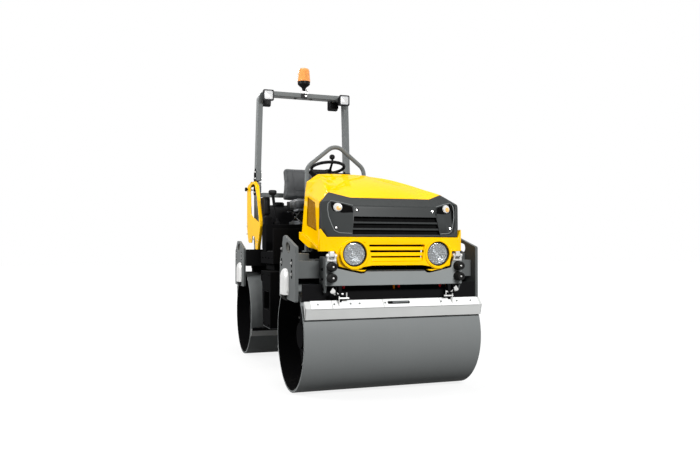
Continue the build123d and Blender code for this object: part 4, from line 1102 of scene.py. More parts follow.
def rounded_run(points, reaches):
    """An open line with its inner corners rounded, each by its own reach."""
    result = [points[0]]
    for before, here, after, reach in zip(points, points[1:], points[2:], reaches):
        result += soft_corner(Vector(before), Vector(here), Vector(after), reach)
    return [*result, points[-1]]

def hood_section(lines, share):
    """The whole section from lip to lip, with soft corners."""
    half = [(line[0](share), line[1](share)) for line in lines]
    lip_x = 351 + share * (490 - 351)
    half += [(lip_x, half[-1][1]), (lip_x, half[-1][1] - LIP_DROP)]
    left = [(-x, z) for x, z in reversed(half[1:])]
    reaches = [*reversed(HOOD_SOFTNESS[1:]), HOOD_SOFTNESS[0], *HOOD_SOFTNESS[1:]]
    return rounded_run(left + half, reaches)


def carved(obj, cutter):
    """Cuts a form or an object out of a piece, and drops the cutter."""
    if isinstance(cutter, Form):
        cutter = cutter.object("cutter", width=0)
    modified(obj, "BOOLEAN", operation="DIFFERENCE", object=cutter, solver="EXACT")
    settled(obj)
    bpy.data.objects.remove(cutter)
    return obj


def build_hood():
    """The hood's pressed skin: a raised dome between two creases, folded flanks, and a flange below."""
    lines = hood_lines()
    bm = bmesh.new()
    rows = []
    for index in range(73):
        share = index / 72
        section = hood_section(lines, share)
        rows.append([bm.verts.new(Vector((x, hood_y(share), z)) * MM) for x, z in section])
    for first, second in zip(rows, rows[1:]):
        for index in range(len(first) - 1):
            bm.faces.new((first[index], second[index], second[index + 1], first[index + 1]))
    bmesh.ops.recalc_face_normals(bm, faces=bm.faces)
    upward = sum(face.normal.z * face.calc_area() for face in bm.faces)
    if upward < 0:
        bmesh.ops.reverse_faces(bm, faces=bm.faces)
    for face in bm.faces:
        face.smooth = True
    skin = raw_object("hood_skin", bm)
    settled(modified(skin, "SOLIDIFY", thickness=6 * MM, offset=-1.0, use_even_offset=True))
    nose = ((0, -1103), (273, -1103), (397, -1023), (480.5, -1108), (520, -1108), (520, -1300))
    carved(skin, Form().prism(mirrored(nose), "z", 700, 1400))
    sill = ((-640, 938), (-1112, 922), (-1112, 800), (-640, 800))
    window = softened([(hood_y(share), z) for share, z in MESH_CORNERS], 16)
    for outline in (sill, window):
        carved(skin, Form().prism(outline, "x", -600, 600))
    sharpened(skin, 28)
    placed(skin, "hood", "yellow", "hood_shell")
    build_hood_rear(lines)
    build_side_mesh(lines)


def sharpened(obj, angle):
    """Smooths the faces, and marks the edges past an angle as sharp."""
    bm = bmesh.new()
    bm.from_mesh(obj.data)
    for face in bm.faces:
        face.smooth = True
    for edge in bm.edges:
        edge.smooth = edge.calc_face_angle(0.0) < radians(angle)
    bm.to_mesh(obj.data)
    bm.free()


def build_hood_rear(lines):
    """The hood's rear wall, with upright louvres pressed in it."""
    wall = Form()
    section = hood_section(lines, 0.0)
    inside = [(x * 0.985, z - 5 if z > 1300 else z) for x, z in section if z > 1050]
    wall.prism(inside, "y", HOOD_REAR - 8, HOOD_REAR - 1)
    for index in range(11):
        x = -200 + index * 40
        louvre = ((x - 12, HOOD_REAR - 2), (x + 12, HOOD_REAR - 2), (x + 12, HOOD_REAR - 0.2))
        wall.prism(softened(louvre, 1), "z", 1120, 1330)
    wall.piece("hood_rear_wall", "hood", "black_plastic", slot="yellow", width=1.0)


def flank_x(lines, share, z):
    """How far out the flank stands at a height."""
    (top_x, top_z), (low_x, low_z) = [(line[0](share), line[1](share)) for line in lines[-2:]]
    return top_x + (low_x - top_x) * (z - top_z) / (low_z - top_z)


def mesh_recipe():
    """Turns a fine grid into a honeycomb sheet of holes."""
    recipe = Recipe("honeycomb", material=("material", None), web=("float", 0.7), thickness=("float", 1.6 * MM))
    flat = recipe.node("GeometryNodeTriangulate", {}, recipe.input("Geometry"))
    comb = recipe.node("GeometryNodeDualMesh", {}, flat)
    cells = recipe.node("GeometryNodeExtrudeMesh", {"mode": "FACES"}, Mesh=comb, Offset_Scale=0.0, Individual=True)
    top = cells.output("Top")
    by_face = {"domain": "FACE"}
    web, thickness = recipe.input("web"), recipe.input("thickness")
    shrunk = recipe.node("GeometryNodeScaleElements", by_face, Geometry=cells, Selection=top, Scale=web)
    holes = recipe.node("GeometryNodeDeleteGeometry", by_face, Geometry=shrunk, Selection=top)
    outer = recipe.node(
        "GeometryNodeExtrudeMesh", {"mode": "FACES"}, Mesh=holes, Offset_Scale=thickness, Individual=False
    )
    return recipe.close(outer)


def build_side_mesh(lines):
    """Honeycomb mesh in both windows, set a little inside the flank."""
    recipe = mesh_recipe()
    columns, rows = 62, 24
    (rear_top, front_top, front_low, rear_low) = MESH_CORNERS
    for name, side in (("right", -1), ("left", 1)):
        bm = bmesh.new()
        grid = []
        for i in range(columns + 1):
            u = i / columns
            run = []
            for j in range(rows + 1):
                v = j / rows
                top = [rear_top[k] + u * (front_top[k] - rear_top[k]) for k in (0, 1)]
                low = [rear_low[k] + u * (front_low[k] - rear_low[k]) for k in (0, 1)]
                share, z = (top[k] + v * (low[k] - top[k]) for k in (0, 1))
                share += (0.5 if j % 2 else 0) / columns * 0.55 * (0 < i < columns)
                x = side * (flank_x(lines, share, z) - 8)
                run.append(bm.verts.new(Vector((x, hood_y(share), z)) * MM))
            grid.append(run)
        for first, second in zip(grid, grid[1:]):
            for j in range(rows):
                corners = (first[j], first[j + 1], second[j + 1], second[j])
                bm.faces.new(corners if side < 0 else corners[::-1])
        # the mesh takes the darker yellow as painted shade
        obj = recipe.run(raw_object("hood_mesh_" + name, bm), "mesh_yellow", web=0.74, thickness=1.5 * MM)
        placed(obj, "hood", "mesh_yellow", "side_mesh", slot="yellow")
        # a flat black sheet behind each mesh: painted shade for the dark inside of the hood
        mesh_shade_sheet = Form()
        inner = []
        for (share, z), (fore, up) in zip(MESH_CORNERS, ((-0.03, 12), (0.03, 12), (0.03, -16), (-0.03, -16))):
            share, z = share + fore, z + up
            inner.append((side * (flank_x(lines, share, z) - 18), hood_y(share), z))
        mesh_shade_sheet.loft([inner, [(x - side * 3, y, z) for x, y, z in inner]])
        mesh_shade_sheet.piece("hood_mesh_lining_" + name, "hood", "gap", slot="yellow", width=0)


# ---------------------------------------------------------------- mask, grille and bumper
MASK_FRONT = -1222
MASK_LEAN = 32 / 196
THROUGH_NOSE = (-1300, -1060)
INDICATOR_X, INDICATOR_Z = 371, 1185
# outlines on one side: (x, height)
BEAD = (
    (284, 1196), (346, 1213), (412, 1227), (431, 1208), (435, 1170), (431, 1128), (413, 1070), (400, 1040), (372, 1026),
    (300, 1022),
)
POCKET = ((412, 1218), (346, 1206), (290, 1188), (285, 1152), (348, 1150), (402, 1162), (414, 1190))
CHEEK = (
    (416, 1226), (434, 1190), (430, 1128), (410, 1060), (396, 1036), (368, 1026), (292, 1026), (277, 1130), (283, 1192),
)
# x, height and depth of the bolts in the mask
MASK_BOLTS = ((259, 1168, -1188), (390, 1058, -1178))


def mask_hull(name, wall=0.0):
    """The mask's outer form without its openings, drawn in by a wall."""
    bm = bmesh.new()
    bm.from_mesh(frame["nodes"]["hood_mask"].data)
    for merge, flat in ((0.02, 1.5), (14, 3)):
        bmesh.ops.remove_doubles(bm, verts=bm.verts, dist=merge * MM)
        points = [vertex.co.copy() for vertex in bm.verts]
        bm.clear()
        for point in points:
            bm.verts.new(point)
        bmesh.ops.convex_hull(bm, input=bm.verts)
        bmesh.ops.delete(bm, geom=[vertex for vertex in bm.verts if not vertex.link_faces], context="VERTS")
        bmesh.ops.dissolve_limit(bm, angle_limit=radians(flat), verts=bm.verts, edges=bm.edges)
    centre = Vector((0, -1.06, 1.12))
    shares = (1 - wall / 480, 1 - wall / 165, 1 - wall / 145)
    for vertex in bm.verts:
        away = vertex.co - centre
        vertex.co = centre + Vector([part * share for part, share in zip(away, shares)])
    return from_bmesh(name, bm, 180)


def build_beads(mask):
    """A raised bead round each cheek, laid on the mask, in a grey lighter than the mask as a painted highlight along
    the cheek's edge.
    """
    beads = Form()
    mesh = mask.data
    faces = [tuple(face.vertices) for face in mesh.polygons]
    ray = BVHTree.FromPolygons([vertex.co for vertex in mesh.vertices], faces)
    for side in SIDES:
        starts = [Vector((side * x, THROUGH_NOSE[0], z)) * MM for x, z in BEAD]
        beads.tube([ray.ray_cast(start, Y)[0] / MM for start in starts], 3, 14, 8)
    # the lighter rail grey on the bead is a painted highlight
    beads.piece("mask_highlight_beads", "hood", "rops_grey", slot="mask_grey", width=0)

def build_mask():
    """The dark moulded mask with soft edges, its pockets and recessed bolts with painted shade in their hollows, and
    the grille's slats.
    """
    mask = mask_hull("mask_moulding")
    modified(mask, "BEVEL", width=12 * MM, segments=5, limit_method="ANGLE", angle_limit=radians(9))
    settled(mask)
    behind = ((273, -1103), (397, -1023), (480, -1108), (620, -1108), (620, -900))
    carved(mask, Form().prism(mirrored(behind), "z", 900, 1400))
    carved(mask, mask_hull("hollow_cutter", 22))
    build_beads(mask)
    opening = softened(((300, 1004), (281, 1128), (-281, 1128), (-300, 1004)), 6)
    carved(mask, Form().prism(opening, "y", *THROUGH_NOSE))
    cheeks, pockets, recesses, holes = Form(), Form(), Form(), Form()
    for side in SIDES:
        cheeks.prism(softened(flipped(side, CHEEK), 14), "y", *THROUGH_NOSE)
        pockets.prism(softened(flipped(side, POCKET), 5), "y", *THROUGH_NOSE)
        for x, z, _ in MASK_BOLTS:
            recesses.rod(*[(side * x, y, z) for y in THROUGH_NOSE], 11.5, 28)
        holes.rod(*[(side * INDICATOR_X, y, INDICATOR_Z) for y in THROUGH_NOSE], 31, 40)
    for form, depth in ((cheeks, 2.5), (pockets, 10), (recesses, 9)):
        cutter = form.object("pocket_cutter", width=0)
        carved(cutter, mask_hull("pocket_floor", depth))
        carved(mask, cutter)
    carved(mask, holes)
    sharpened(mask, 28)
    placed(mask, "hood", "mask_grey", "hood_mask")
    # faces more than 3.6 mm inside the outer form take the near-black finish: painted shade in the pockets, recesses,
    # opening walls and inner side
    outer = mask_hull("depth_test")
    sides = [(outer.data.vertices[face.vertices[0]].co.copy(), face.normal.copy()) for face in outer.data.polygons]
    two_toned(mask, "gap", lambda centre: all((centre * MM - start).dot(normal) < -0.0036 for start, normal in sides))
    bpy.data.objects.remove(outer)
    spots = [((side * x, y, z), (-0.3, -1, 0.2), 5.5) for side in SIDES for x, z, y in MASK_BOLTS]
    bolts("mask_bolts", "hood", spots, kind="cap")
    slats = Form()
    for z in (1010, 1050, 1090):
        y = MASK_FRONT + 5 + MASK_LEAN * (z - 1000)
        half = 282 + (1128 - z) * 0.15
        section = ((y, z - 5), (y, z + 2), (y + 3, z + 6), (y + 9, z + 7), (y + 9, z - 2), (y + 2, z - 6))
        slats.prism(section, "x", -half, half)
    slats.piece("grille_slats", "hood", "mask_grey", "grille", width=1.0)
    # a flat black sheet behind the slats: painted shade in the grille opening
    shade_backing = Form()
    back = [(MASK_FRONT + MASK_LEAN * (z - 1000) + 24, z) for z in (1004, 1136)]
    shade_backing.prism([*back, *[(y + 6, z) for y, z in reversed(back)]], "x", -296, 296)
    shade_backing.piece("grille_backing", "hood", "gap", slot="black_plastic", width=0)


def build_bumper():
    """The yellow nose below the mask, and its lamps."""
    dressed("bumper", 4.0, 3)
    # a flat black sheet behind the bumper slot: painted shade in the slot
    shade_backing = Form()
    shade_backing.prism(((-172, 846), (172, 846), (176, 955), (-176, 955)), "y", -1188, -1184)
    shade_backing.piece("bumper_slot_backing", "hood", "gap", slot="yellow", width=0)
    build_headlights()
    build_indicators()


def build_headlights():
    """Round headlights: chromed bowl with a bulb shield, and a ribbed glass in a black rim."""
    bowls = Form()
    glasses = Form()
    rims = Form()
    shields = Form()
    for side in SIDES:
        centre = (side * 284, -1190, 895)
        out = (0, -1, 0)
        bowl = [(0, 0), (0, 72)]
        bowl += [(1 + 17 * (radius / 70) ** 2, radius) for radius in (71, 66, 60, 52, 44, 36, 28, 20, 14)]
        bowls.lathe([*bowl, (2, 8), (2, 0)], centre, out, 56)
        for radius, lift in ((62, 14), (46, 9), (31, 6)):
            ring = ((lift, radius), (lift + 4, radius - 1), (lift + 4, radius - 3), (lift, radius - 4))
            shields.lathe(ring, centre, out, 56)
        shields.block((centre[0] - 68, -1208, 893), (centre[0] + 68, -1206, 897))
        shields.lathe(((2, 0), (2, 13), (11, 13), (14, 10), (15, 0)), centre, out, 32)
        glasses.lathe(((19, 0), (19, 71), (21, 71), (24, 60), (26.5, 35), (27.5, 0)), centre, out, 56)
        rims.lathe(((14, 70), (14, 76.5), (26, 76.5), (28, 74), (28, 71), (24, 70)), centre, out, 64)
    bowls.piece("headlight_bowls", "hood", "reflector", "headlights", slot="lamp_glass", width=0)
    shields.piece("headlight_shields", "hood", "chrome", slot="lamp_glass", width=0.5)
    glasses.piece("headlight_glasses", "hood", "lamp_glass", width=0)
    rims.piece("headlight_rims", "hood", "black_plastic", width=0.6)


def build_indicators():
    """Indicators in the mask: a pale round lens and an amber core."""
    lenses = Form()
    cores = Form()
    rims = Form()
    for side in SIDES:
        centre = Vector((side * INDICATOR_X, -1150, INDICATOR_Z))
        out = Vector((side * 0.22, -1, 0.1)).normalized()
        lenses.lathe(((0, 0), (0, 28), (7, 28), (12, 25), (15, 14), (16, 0)), centre, out, 36)
        cores.lathe(((0, 0), (0, 16), (2.4, 14), (3.6, 8), (4, 0)), centre + out * 14.2 + Vector((4, 0, -5)), out, 24)
        rims.lathe(((-2, 27.5), (-2, 30.5), (5, 30.5), (6, 29), (5, 27.5)), centre, out, 40)
    lenses.piece("indicator_lenses", "hood", "white_lens", "indicators", width=0)
    cores.piece("indicator_cores", "hood", "bulb", slot="amber", width=0)
    rims.piece("indicator_rims", "hood", "black_plastic", width=0.6)


# ---------------------------------------------------------------- platform, steps and podium
def stud_recipe():
    """Raised round studs on a grid, for treads and mats."""
    recipe = Recipe("studs", material=("material", None), radius=("float", 5 * MM), height=("float", 2 * MM))
    stud = recipe.node("GeometryNodeMeshCone", {}, Vertices=8, Radius_Top=0.62, Radius_Bottom=1.0, Depth=1.0)
    size = recipe.node(
        "ShaderNodeCombineXYZ", {}, X=recipe.input("radius"), Y=recipe.input("radius"), Z=recipe.input("height")
    )
    spread = recipe.node("GeometryNodeInstanceOnPoints", {}, Points=recipe.input("Geometry"), Instance=stud, Scale=size)
    return recipe.close(spread)


def studs(name, body, material, patches, pitch, radius, height, slot=None):
    """Studs over flat patches of (x from, x to, y from, y to, z)."""
    if "studs" not in RECIPES:
        RECIPES["studs"] = stud_recipe()
    points = []
    for x_low, x_high, y_low, y_high, z in patches:
        across, along = int((x_high - x_low) / pitch), int((y_high - y_low) / pitch)
        for i in range(across + 1):
            for j in range(along + 1):
                shift = pitch / 2 if j % 2 and i < across else 0
                x = x_low + i * (x_high - x_low) / across + shift
                points.append(Vector((x, y_low + j * (y_high - y_low) / along, z)) * MM)
    mesh = bpy.data.meshes.new(name)
    mesh.from_pydata(points, [], [])
    obj = RECIPES["studs"].run(new_object(name, mesh), material, radius=radius * MM, height=height * MM)
    return placed(obj, body, material, slot=slot)


def build_platform():
    """Platform with its studded mat, the boarding steps and the podium under the seat."""
    dressed("boarding_steps", 5.0, second="black_paint", where=lambda centre: centre.z > 330)
    dressed("platform", 4.0, material="black_paint")
    dressed("podium", 8.0, 3, material="black_paint")
    dressed("water_tank", 9.0, 4)
    mats = Form()
    mats.block((-250, 160, 899), (250, 430, 904))
    for side in SIDES:
        mats.block((side * 270, 178, 899), (side * 480, 430, 904))
        mats.block((side * 410, 40, 299), (side * 535, 292, 303))
    mats.piece("platform_mats", "rear_frame", "rubber", width=1.0)
    patches = [(-235, 235, 175, 415, 904)]
    for side in SIDES:
        patches.append((*sorted((side * 285, side * 465)), 190, 415, 904))
    studs("platform_mat_studs", "rear_frame", "rubber", patches, 24, 6, 2.5)
    trim = Form()
    spots = []
    for side in SIDES:
        for z in (442, 588):
            trim.tube(((side * 540, 84, z), (side * 540, 250, z)), 2.2, segments=8)
        for y, z in ((60, 720), (300, 720), (60, 330), (250, 330)):
            spots.append(((side * 540, y, z), (side, 0, 0), 7))
        for y in (180, 300, 420, 540):
            spots.append(((side * 490, y, 850), (side, 0, 0), 7))
        spots += [((side * 380, y, 1132), (0, 0, 1), 7) for y in (700, 900)]
        spots.append(((side * 330, 1085, 1329), (0, 0, 1), 6))
    trim.piece("step_edges", "rear_frame", "black_plastic", width=0)
    bolts("platform_bolts", "rear_frame", spots, kind="cap", material="black_paint", slot="frame_grey")
    cap = Form()
    cap.lathe(((0, 0), (0, 48), (10, 50), (28, 48), (34, 42), (34, 0)), (-230, 1092, 1322), Z, 40)
    for x, y in circle(50, 16, (-230, 1092)):
        cap.rod((x, y, 1330), (x, y, 1348), 3, 8)
    cap.piece("tank_cap", "rear_frame", "black_plastic", width=1.0)


# ---------------------------------------------------------------- rail panels and roll bar
def build_panels():
    """Yellow side panels with their knobs and latches."""
    dressed("rops_panels", 3.0, 3)
    knobs = Form()
    latches = Form()
    spots = []
    for side in SIDES:
        x = side * 506
        knob = ((0, 0), (0, 7), (9, 7), (10, 17), (20, 19), (27, 16), (29, 0))
        knobs.lathe(knob, (x - side * 2, 1178, 1478), (side, 0, 0), 28)
        knobs.rod((side * 460, 1166, 1470), (x, 1178, 1478), 6, 16)
        latches.prism(softened(((900, 1436), (968, 1436), (968, 1468), (900, 1468)), 8), "x", side * 459, side * 470)
        latches.rod((side * 459, 934, 1452), (side * 500, 934, 1452), 7, 16)
        for y, z in ((696, 994), (719, 960), (1188, 1060), (1186, 1130), (1020, 1010), (880, 1006)):
            spots.append(((x, y, z), (side, 0, 0), 6.5))
    knobs.piece("panel_knobs", "rear_frame", "black_plastic", width=1.0)
    latches.piece("panel_latches", "rear_frame", "black_paint", slot="rops_grey", width=1.0)
    bolts("panel_bolts", "rear_frame", spots)


def build_roll_bar():
    """Lower posts with their fold brackets, and the folding upper frame."""
    dressed("rops_posts", 5.0, 3)
    dressed("rops_frame", 7.0, 4)
    plates = Form()
    upper = Form()
    pins = Form()
    spots = []
    upper_spots = []
    for side in SIDES:
        for face in SIDES:
            x = side * 436 + face * 22.5
            lower_outline = softened(((1018, 1418), (1116, 1418), (1116, 1532), (1018, 1532)), 10)
            plates.prism(lower_outline, "x", x, x + face * 4)
            upper_outline = softened(((1019, 1548), (1114, 1548), (1110, 1632), (1060, 1668), (1022, 1640)), 10)
            x_up = side * 434.5 + face * 22.5
            upper.prism(upper_outline, "x", x_up, x_up + face * 4)
            for y, z in ((1036, 1440), (1098, 1440), (1036, 1508), (1092, 1508)):
                spots.append(((x + face * 4, y, z), (face, 0, 0), 7))
            for y, z in ((1036, 1570), (1096, 1570), (1040, 1628)):
                upper_spots.append(((x_up + face * 4, y, z), (face, 0, 0), 7))
        pins.rod((side * 436 - 27, 1136, 1540), (side * 436 + 27, 1136, 1540), 11, 24)
        plates.rod((side * 460, 1040, 1524), (side * 486, 1040, 1524), 5, 14)
        plates.lathe(((0, 0), (0, 9), (6, 13), (18, 13), (22, 8), (22, 0)), (side * 482, 1040, 1524), (side, 0, 0), 20)
    plates.piece("fold_brackets_lower", "rear_frame", "black_paint", slot="rops_grey", width=1.2)
    upper.piece("fold_brackets_upper", "rops_top", "black_paint", slot="rops_grey", width=1.2)
    pins.piece("fold_pins", "rear_frame", "zinc", width=1.0)
    bolts("fold_bolts_lower", "rear_frame", spots)
    bolts("fold_bolts_upper", "rops_top", upper_spots)
    caps = Form()
    for x in (-76, 76):
        caps.lathe(((0, 0), (0, 15), (5, 15), (9, 8), (9, 0)), (x, 1068, 2343), -Z, 24)
    caps.piece("roll_bar_plugs", "rops_top", "rops_grey", width=0.6)


# ---------------------------------------------------------------- lamps
def build_work_lamps():
    """Square work lamps with finned housings, pale lenses and brackets, facing front and rear."""
    shells = Form()
    lenses = Form()
    rims = Form()
    brackets = Form()
    spots = []
    for side in SIDES:
        for x, face, way in ((side * 365, 915, -1), (side * 335, 1211, 1)):
            z = 2325
            rings = []
            for depth, half in ((0, 50), (22, 50), (30, 46), (76, 40)):
                ring = box_outline((x - half, z - half), (x + half, z + half), half * 0.3)
                rings.append([(a, face - way * depth, b) for a, b in ring])
            shells.loft(rings)
            for index in range(5):
                at = x - 30 + index * 15
                shells.block((at - 2, face - way * 34, z - 36), (at + 2, face - way * 79, z + 42))
            opening = box_outline((x - 38, z - 38), (x + 38, z + 38), 9)
            outer = box_outline((x - 49.5, z - 49.5), (x + 49.5, z + 49.5), 14)
            lens_rings = []
            for d, k in ((2, 1), (-0.5, 1), (-1, 0.96)):
                lens_rings.append([(x + (a - x) * k, face - way * d, z + (b - z) * k) for a, b in opening])
            lenses.loft(lens_rings)
            inner = box_outline((x - 38, z - 38), (x + 38, z + 38), 14)
            ring_rows = []
            for d, outline in ((0.5, outer), (-0.5, outer), (-0.5, inner), (0.5, inner)):
                ring_rows.append([(a, face - way * d, b) for a, b in outline])
            rims.loft(ring_rows, closed=True)
            bar = 1017 if way < 0 else 1117
            brackets.block((x - 15, bar, z + 15), (x + 15, face - way * 60, z + 45))
            for dx, dz in ((-44, -44), (44, -44), (-44, 44), (44, 44)):
                spots.append(((x + dx * 0.98, face - way * 0.4, z + dz * 0.98), (0, way, 0), 2.0))
    shells.piece("work_lamp_shells", "rops_top", "black_plastic", "work_lamps", width=1.5)
    rims.piece("work_lamp_rims", "rops_top", "black_plastic", width=0.3)
    lenses.piece("work_lamp_lenses", "rops_top", "lamp_white", slot="lamp_glass", width=0.4)
    brackets.piece("work_lamp_brackets", "rops_top", "black_paint", slot="rops_grey", width=1.2)


def build_beacon():
    """Beacon: clamp and stem, rubber cone, base, and a ribbed amber dome."""
    y, top = 1040, 2388
    clamp = Form()
    clamp.block((-34, 1012, top - 0.5), (34, 1068, top + 11))
    clamp.lathe(((0, 0), (0, 20), (8, 20), (12, 13.5), (36, 13.5), (36, 0)), (0, y, top + 11), Z, 32)
    clamp.rod((-20, y, top + 34), (30, y, top + 34), 5, 16)
    clamp.lathe(((0, 0), (0, 10), (5, 12), (14, 12), (14, 0)), (24, y, top + 34), X, 20)
    clamp.rod((8, 1006, 2358), (8, 995, 2358), 9, 16)
    clamp.piece("beacon_clamp", "rops_top", "zinc", width=1.0)
    cone = Form().prism(softened(((-34, 2334), (22, 2334), (22, 2384), (-34, 2384)), 6), "y", 1002, 1010)
    profile = (
        (0, 0), (0, 15), (10, 17), (12, 15), (24, 20), (26, 18), (40, 30), (48, 44), (58, 52), (60, 56), (68, 58),
        (86, 58), (89, 55), (89, 0),
    )
    cone.lathe(profile, (0, y, top + 24), Z, 48)
    cone.piece("beacon_foot", "rops_top", "black_plastic", "beacon_base", width=1.0)
    dome = Form()
    outer = (
        (0, 0), (0, 61), (3, 61.5), (10, 60.5), (60, 56.5), (100, 53), (110, 51), (118, 47), (124, 40), (128, 30),
        (129.6, 15), (130, 0),
    )
    dome.lathe(outer, (0, y, top + 112), Z, 72)
    dome.piece("beacon_lens", "rops_top", "amber", "beacon_dome", width=0)


def build_tail_lamps():
    """Tail lamps in three parts: red, amber and white in a black tray."""
    tray = Form()
    parts = {"red_lens": Form(), "amber": Form(), "white_lens": Form()}
    for side in SIDES:
        x = side * 340
        outline = box_outline((x - 64, 826), (x + 64, 894), 12)
        tray.prism(outline, "y", 1202, 1226)
        start = x - 58
        for key, wide in (("red_lens", 50), ("amber", 36), ("white_lens", 26)):
            outline = box_outline((start, 832), (start + wide, 888), 7)
            rings = [[(a, depth, b) for a, b in outline] for depth in (1222, 1232)]
            middle = start + wide / 2
            rings.append([(middle + (a - middle) * 0.9, 1236, 860 + (b - 860) * 0.93) for a, b in outline])
            parts[key].loft(rings)
            start += wide + 2
    tray.piece("tail_lamp_trays", "rear_frame", "black_plastic", "tail_lamps", slot="red_lens", width=1.5)
    for key, form in parts.items():
        form.piece("tail_lamp_" + key, "rear_frame", key, width=1.0)


# ---------------------------------------------------------------- controls
WHEEL_TILT = radians(14)
WHEEL_CENTRE = Vector((0, 268, 1600))
WHEEL_AXIS = Vector((0, sin(WHEEL_TILT), cos(WHEEL_TILT)))
WHEEL_AHEAD = Vector((0, -cos(WHEEL_TILT), sin(WHEEL_TILT)))
DASH_FRONT = 80
DASH_CREST = 1539

def dash_top(y):
    """The height of the sloping dashboard."""
    return DASH_CREST - (y - DASH_FRONT) * tan(WHEEL_TILT)


def build_wheel():
    """Steering wheel with a gripped rim, dished spokes, hub cap and spinner knob."""
    rim = Form()
    rings = []
    for index in range(96):
        turn = 2 * pi * index / 96
        way = X * cos(turn) + WHEEL_AHEAD * sin(turn)
        thickness = 13 - (0.7 if index % 4 < 1 else 0)
        ring = []
        for part in range(16):
            angle = 2 * pi * part / 16
            ring.append(WHEEL_CENTRE + way * (136 + thickness * cos(angle)) + WHEEL_AXIS * thickness * sin(angle))
        rings.append(ring)
    rim.loft(rings, closed=True)
    for turn in (-90, 30, 150):
        angle = radians(turn)
        way = X * cos(angle) - WHEEL_AHEAD * sin(angle)
        across = way.cross(WHEEL_AXIS)
        path = ((24, -46, 20, 8), (46, -45, 20, 7), (80, -28, 16, 5), (112, -10, 15, 5), (130, -1, 17, 6))
        rings = []
        for out, rise, wide, thick in path:
            centre = WHEEL_CENTRE + way * out + WHEEL_AXIS * rise
            outline = box_outline((-wide * 0.6, -thick), (wide * 0.6, thick), 4)
            rings.append([centre + across * a + WHEEL_AXIS * b for a, b in outline])
        rim.loft(rings)
    rim.lathe(((-57, 0), (-57, 30), (-50, 34), (-30, 34), (-22, 30), (-18, 14), (-17, 0)), WHEEL_CENTRE, WHEEL_AXIS, 48)
    rim.piece("wheel_rim_and_spokes", "steering_wheel", "black_plastic", "steering_wheel", width=0.8)
    knob = Form()
    front = WHEEL_CENTRE + WHEEL_AHEAD * 136
    profile = ((0, 0), (6, 9), (24, 8.5), (27, 15), (33, 21), (42, 23), (52, 22), (60, 16), (64, 8), (66, 0))
    knob.lathe(profile, front, WHEEL_AXIS, 32)
    knob.piece("wheel_knob", "steering_wheel", "black_plastic", width=0.6)
    boot = Form()
    foot = (DASH_CREST - WHEEL_CENTRE.z) * cos(WHEEL_TILT) - (WHEEL_CENTRE.y - DASH_FRONT) * sin(WHEEL_TILT)
    length = -58 - 7 - foot
    profile = [(0, 0), (0, 40)]
    for index in range(5):
        low = 2 + index * (length - 8) / 5
        profile += [(low, 40 - index * 2.2), (low + (length - 8) / 10, 33 - index * 2)]
    profile += [(length - 5, 26), (length, 24), (length, 10), (length + 26, 9), (length + 26, 0)]
    boot.lathe(profile, WHEEL_CENTRE + WHEEL_AXIS * foot, WHEEL_AXIS, 40)
    boot.piece("steering_column_boot", "rear_frame", "rubber", "steering_column", slot="black_plastic", width=0.8)


def build_dashboard():
    """Cowl, dashboard, display with its dials and switches, and the handrail."""
    dressed("cowl", 5.0, 3)
    dressed("dashboard", 4.0, 3)
    along = -WHEEL_AHEAD
    face = Vector((-132, 138, dash_top(138) + 24.4))
    screen = Form()
    screen.slab(box_outline((-66, -46), (66, 46), 6), face, X, along, -2.0, -0.6)
    screen.piece("display_screen", "rear_frame", "gap", slot="black_plastic", width=0.4)
    dials = Form()
    for x in (-18, 28):
        centre = Vector((x, 128, dash_top(128)))
        dials.lathe(((-2, 0), (-2, 19), (3, 19), (4, 16), (1.5, 15.5), (1.5, 0)), centre, WHEEL_AXIS, 32)
    dials.piece("dashboard_dials", "rear_frame", "black_plastic", width=0.4)
    switches = Form()
    for index in range(5):
        x = 62 + (index % 3) * 24
        y = 110 + (index // 3) * 46
        centre = Vector((x, y, dash_top(y)))
        switches.slab(box_outline((-8, -13), (8, 13), 3), centre, X, along, -2, 4)
    key = Vector((-18, 196, dash_top(196)))
    switches.lathe(((-2, 0), (-2, 12), (5, 12), (6, 4), (20, 4), (20, 0)), key, WHEEL_AXIS, 24)
    switches.piece("dashboard_switches", "rear_frame", "black_plastic", width=0.8)
    rail = Form()
    slope = 0.8125
    knee = 1769 - 241 * slope
    path = ((-241, 52, 900), (-241, 52, knee), (0, 52, 1769), (241, 52, knee), (241, 52, 900))
    rail.tube(path, 17, 95, 24)
    for side in SIDES:
        rail.lathe(((0, 0), (0, 34), (8, 34), (10, 32), (10, 0)), (side * 241, 52, 899), Z, 32)
    rail.piece("handrail_tube", "rear_frame", "rops_grey", "handrail", width=0.6)


def build_lever():
    """Drive lever: T grip, sleeve with a ring, thin rod and a bellows foot."""
    foot = Vector((-390, 478, 1142))
    grip = Vector((-428, 456, 1395))
    way = (grip - foot).normalized()
    lever = Form()
    profile = [(-12, 0), (-12, 32), (4, 32)]
    for index in range(4):
        profile += [(6 + index * 8, 30 - index * 5), (10 + index * 8, 23 - index * 4)]
    profile += [(38, 9), (38, 0)]
    lever.lathe(profile, foot, Vector((0, 0, 1)), 32)
    length = (grip - foot).length
    ring = (
        (20, 0), (20, 7), (136, 7), (138, 15), (150, 16), (154, 12), (160, 12), (226, 13), (236, 16),
        (length - 4, 17), (length - 4, 0),
    )
    lever.lathe(ring, foot, way, 28)
    rings = []
    for level, half_x, half_y in ((-20, 20, 14), (-12, 30, 17), (2, 33, 18), (14, 32, 17), (21, 26, 13), (22, 18, 9)):
        outline = box_outline((-half_x, -half_y), (half_x, half_y), 9)
        rings.append([grip + Vector((a, b, level)) for a, b in outline])
    lever.loft(rings)
    lever.piece("drive_lever_grip_and_rod", "rear_frame", "black_plastic", "drive_lever", width=1.0)


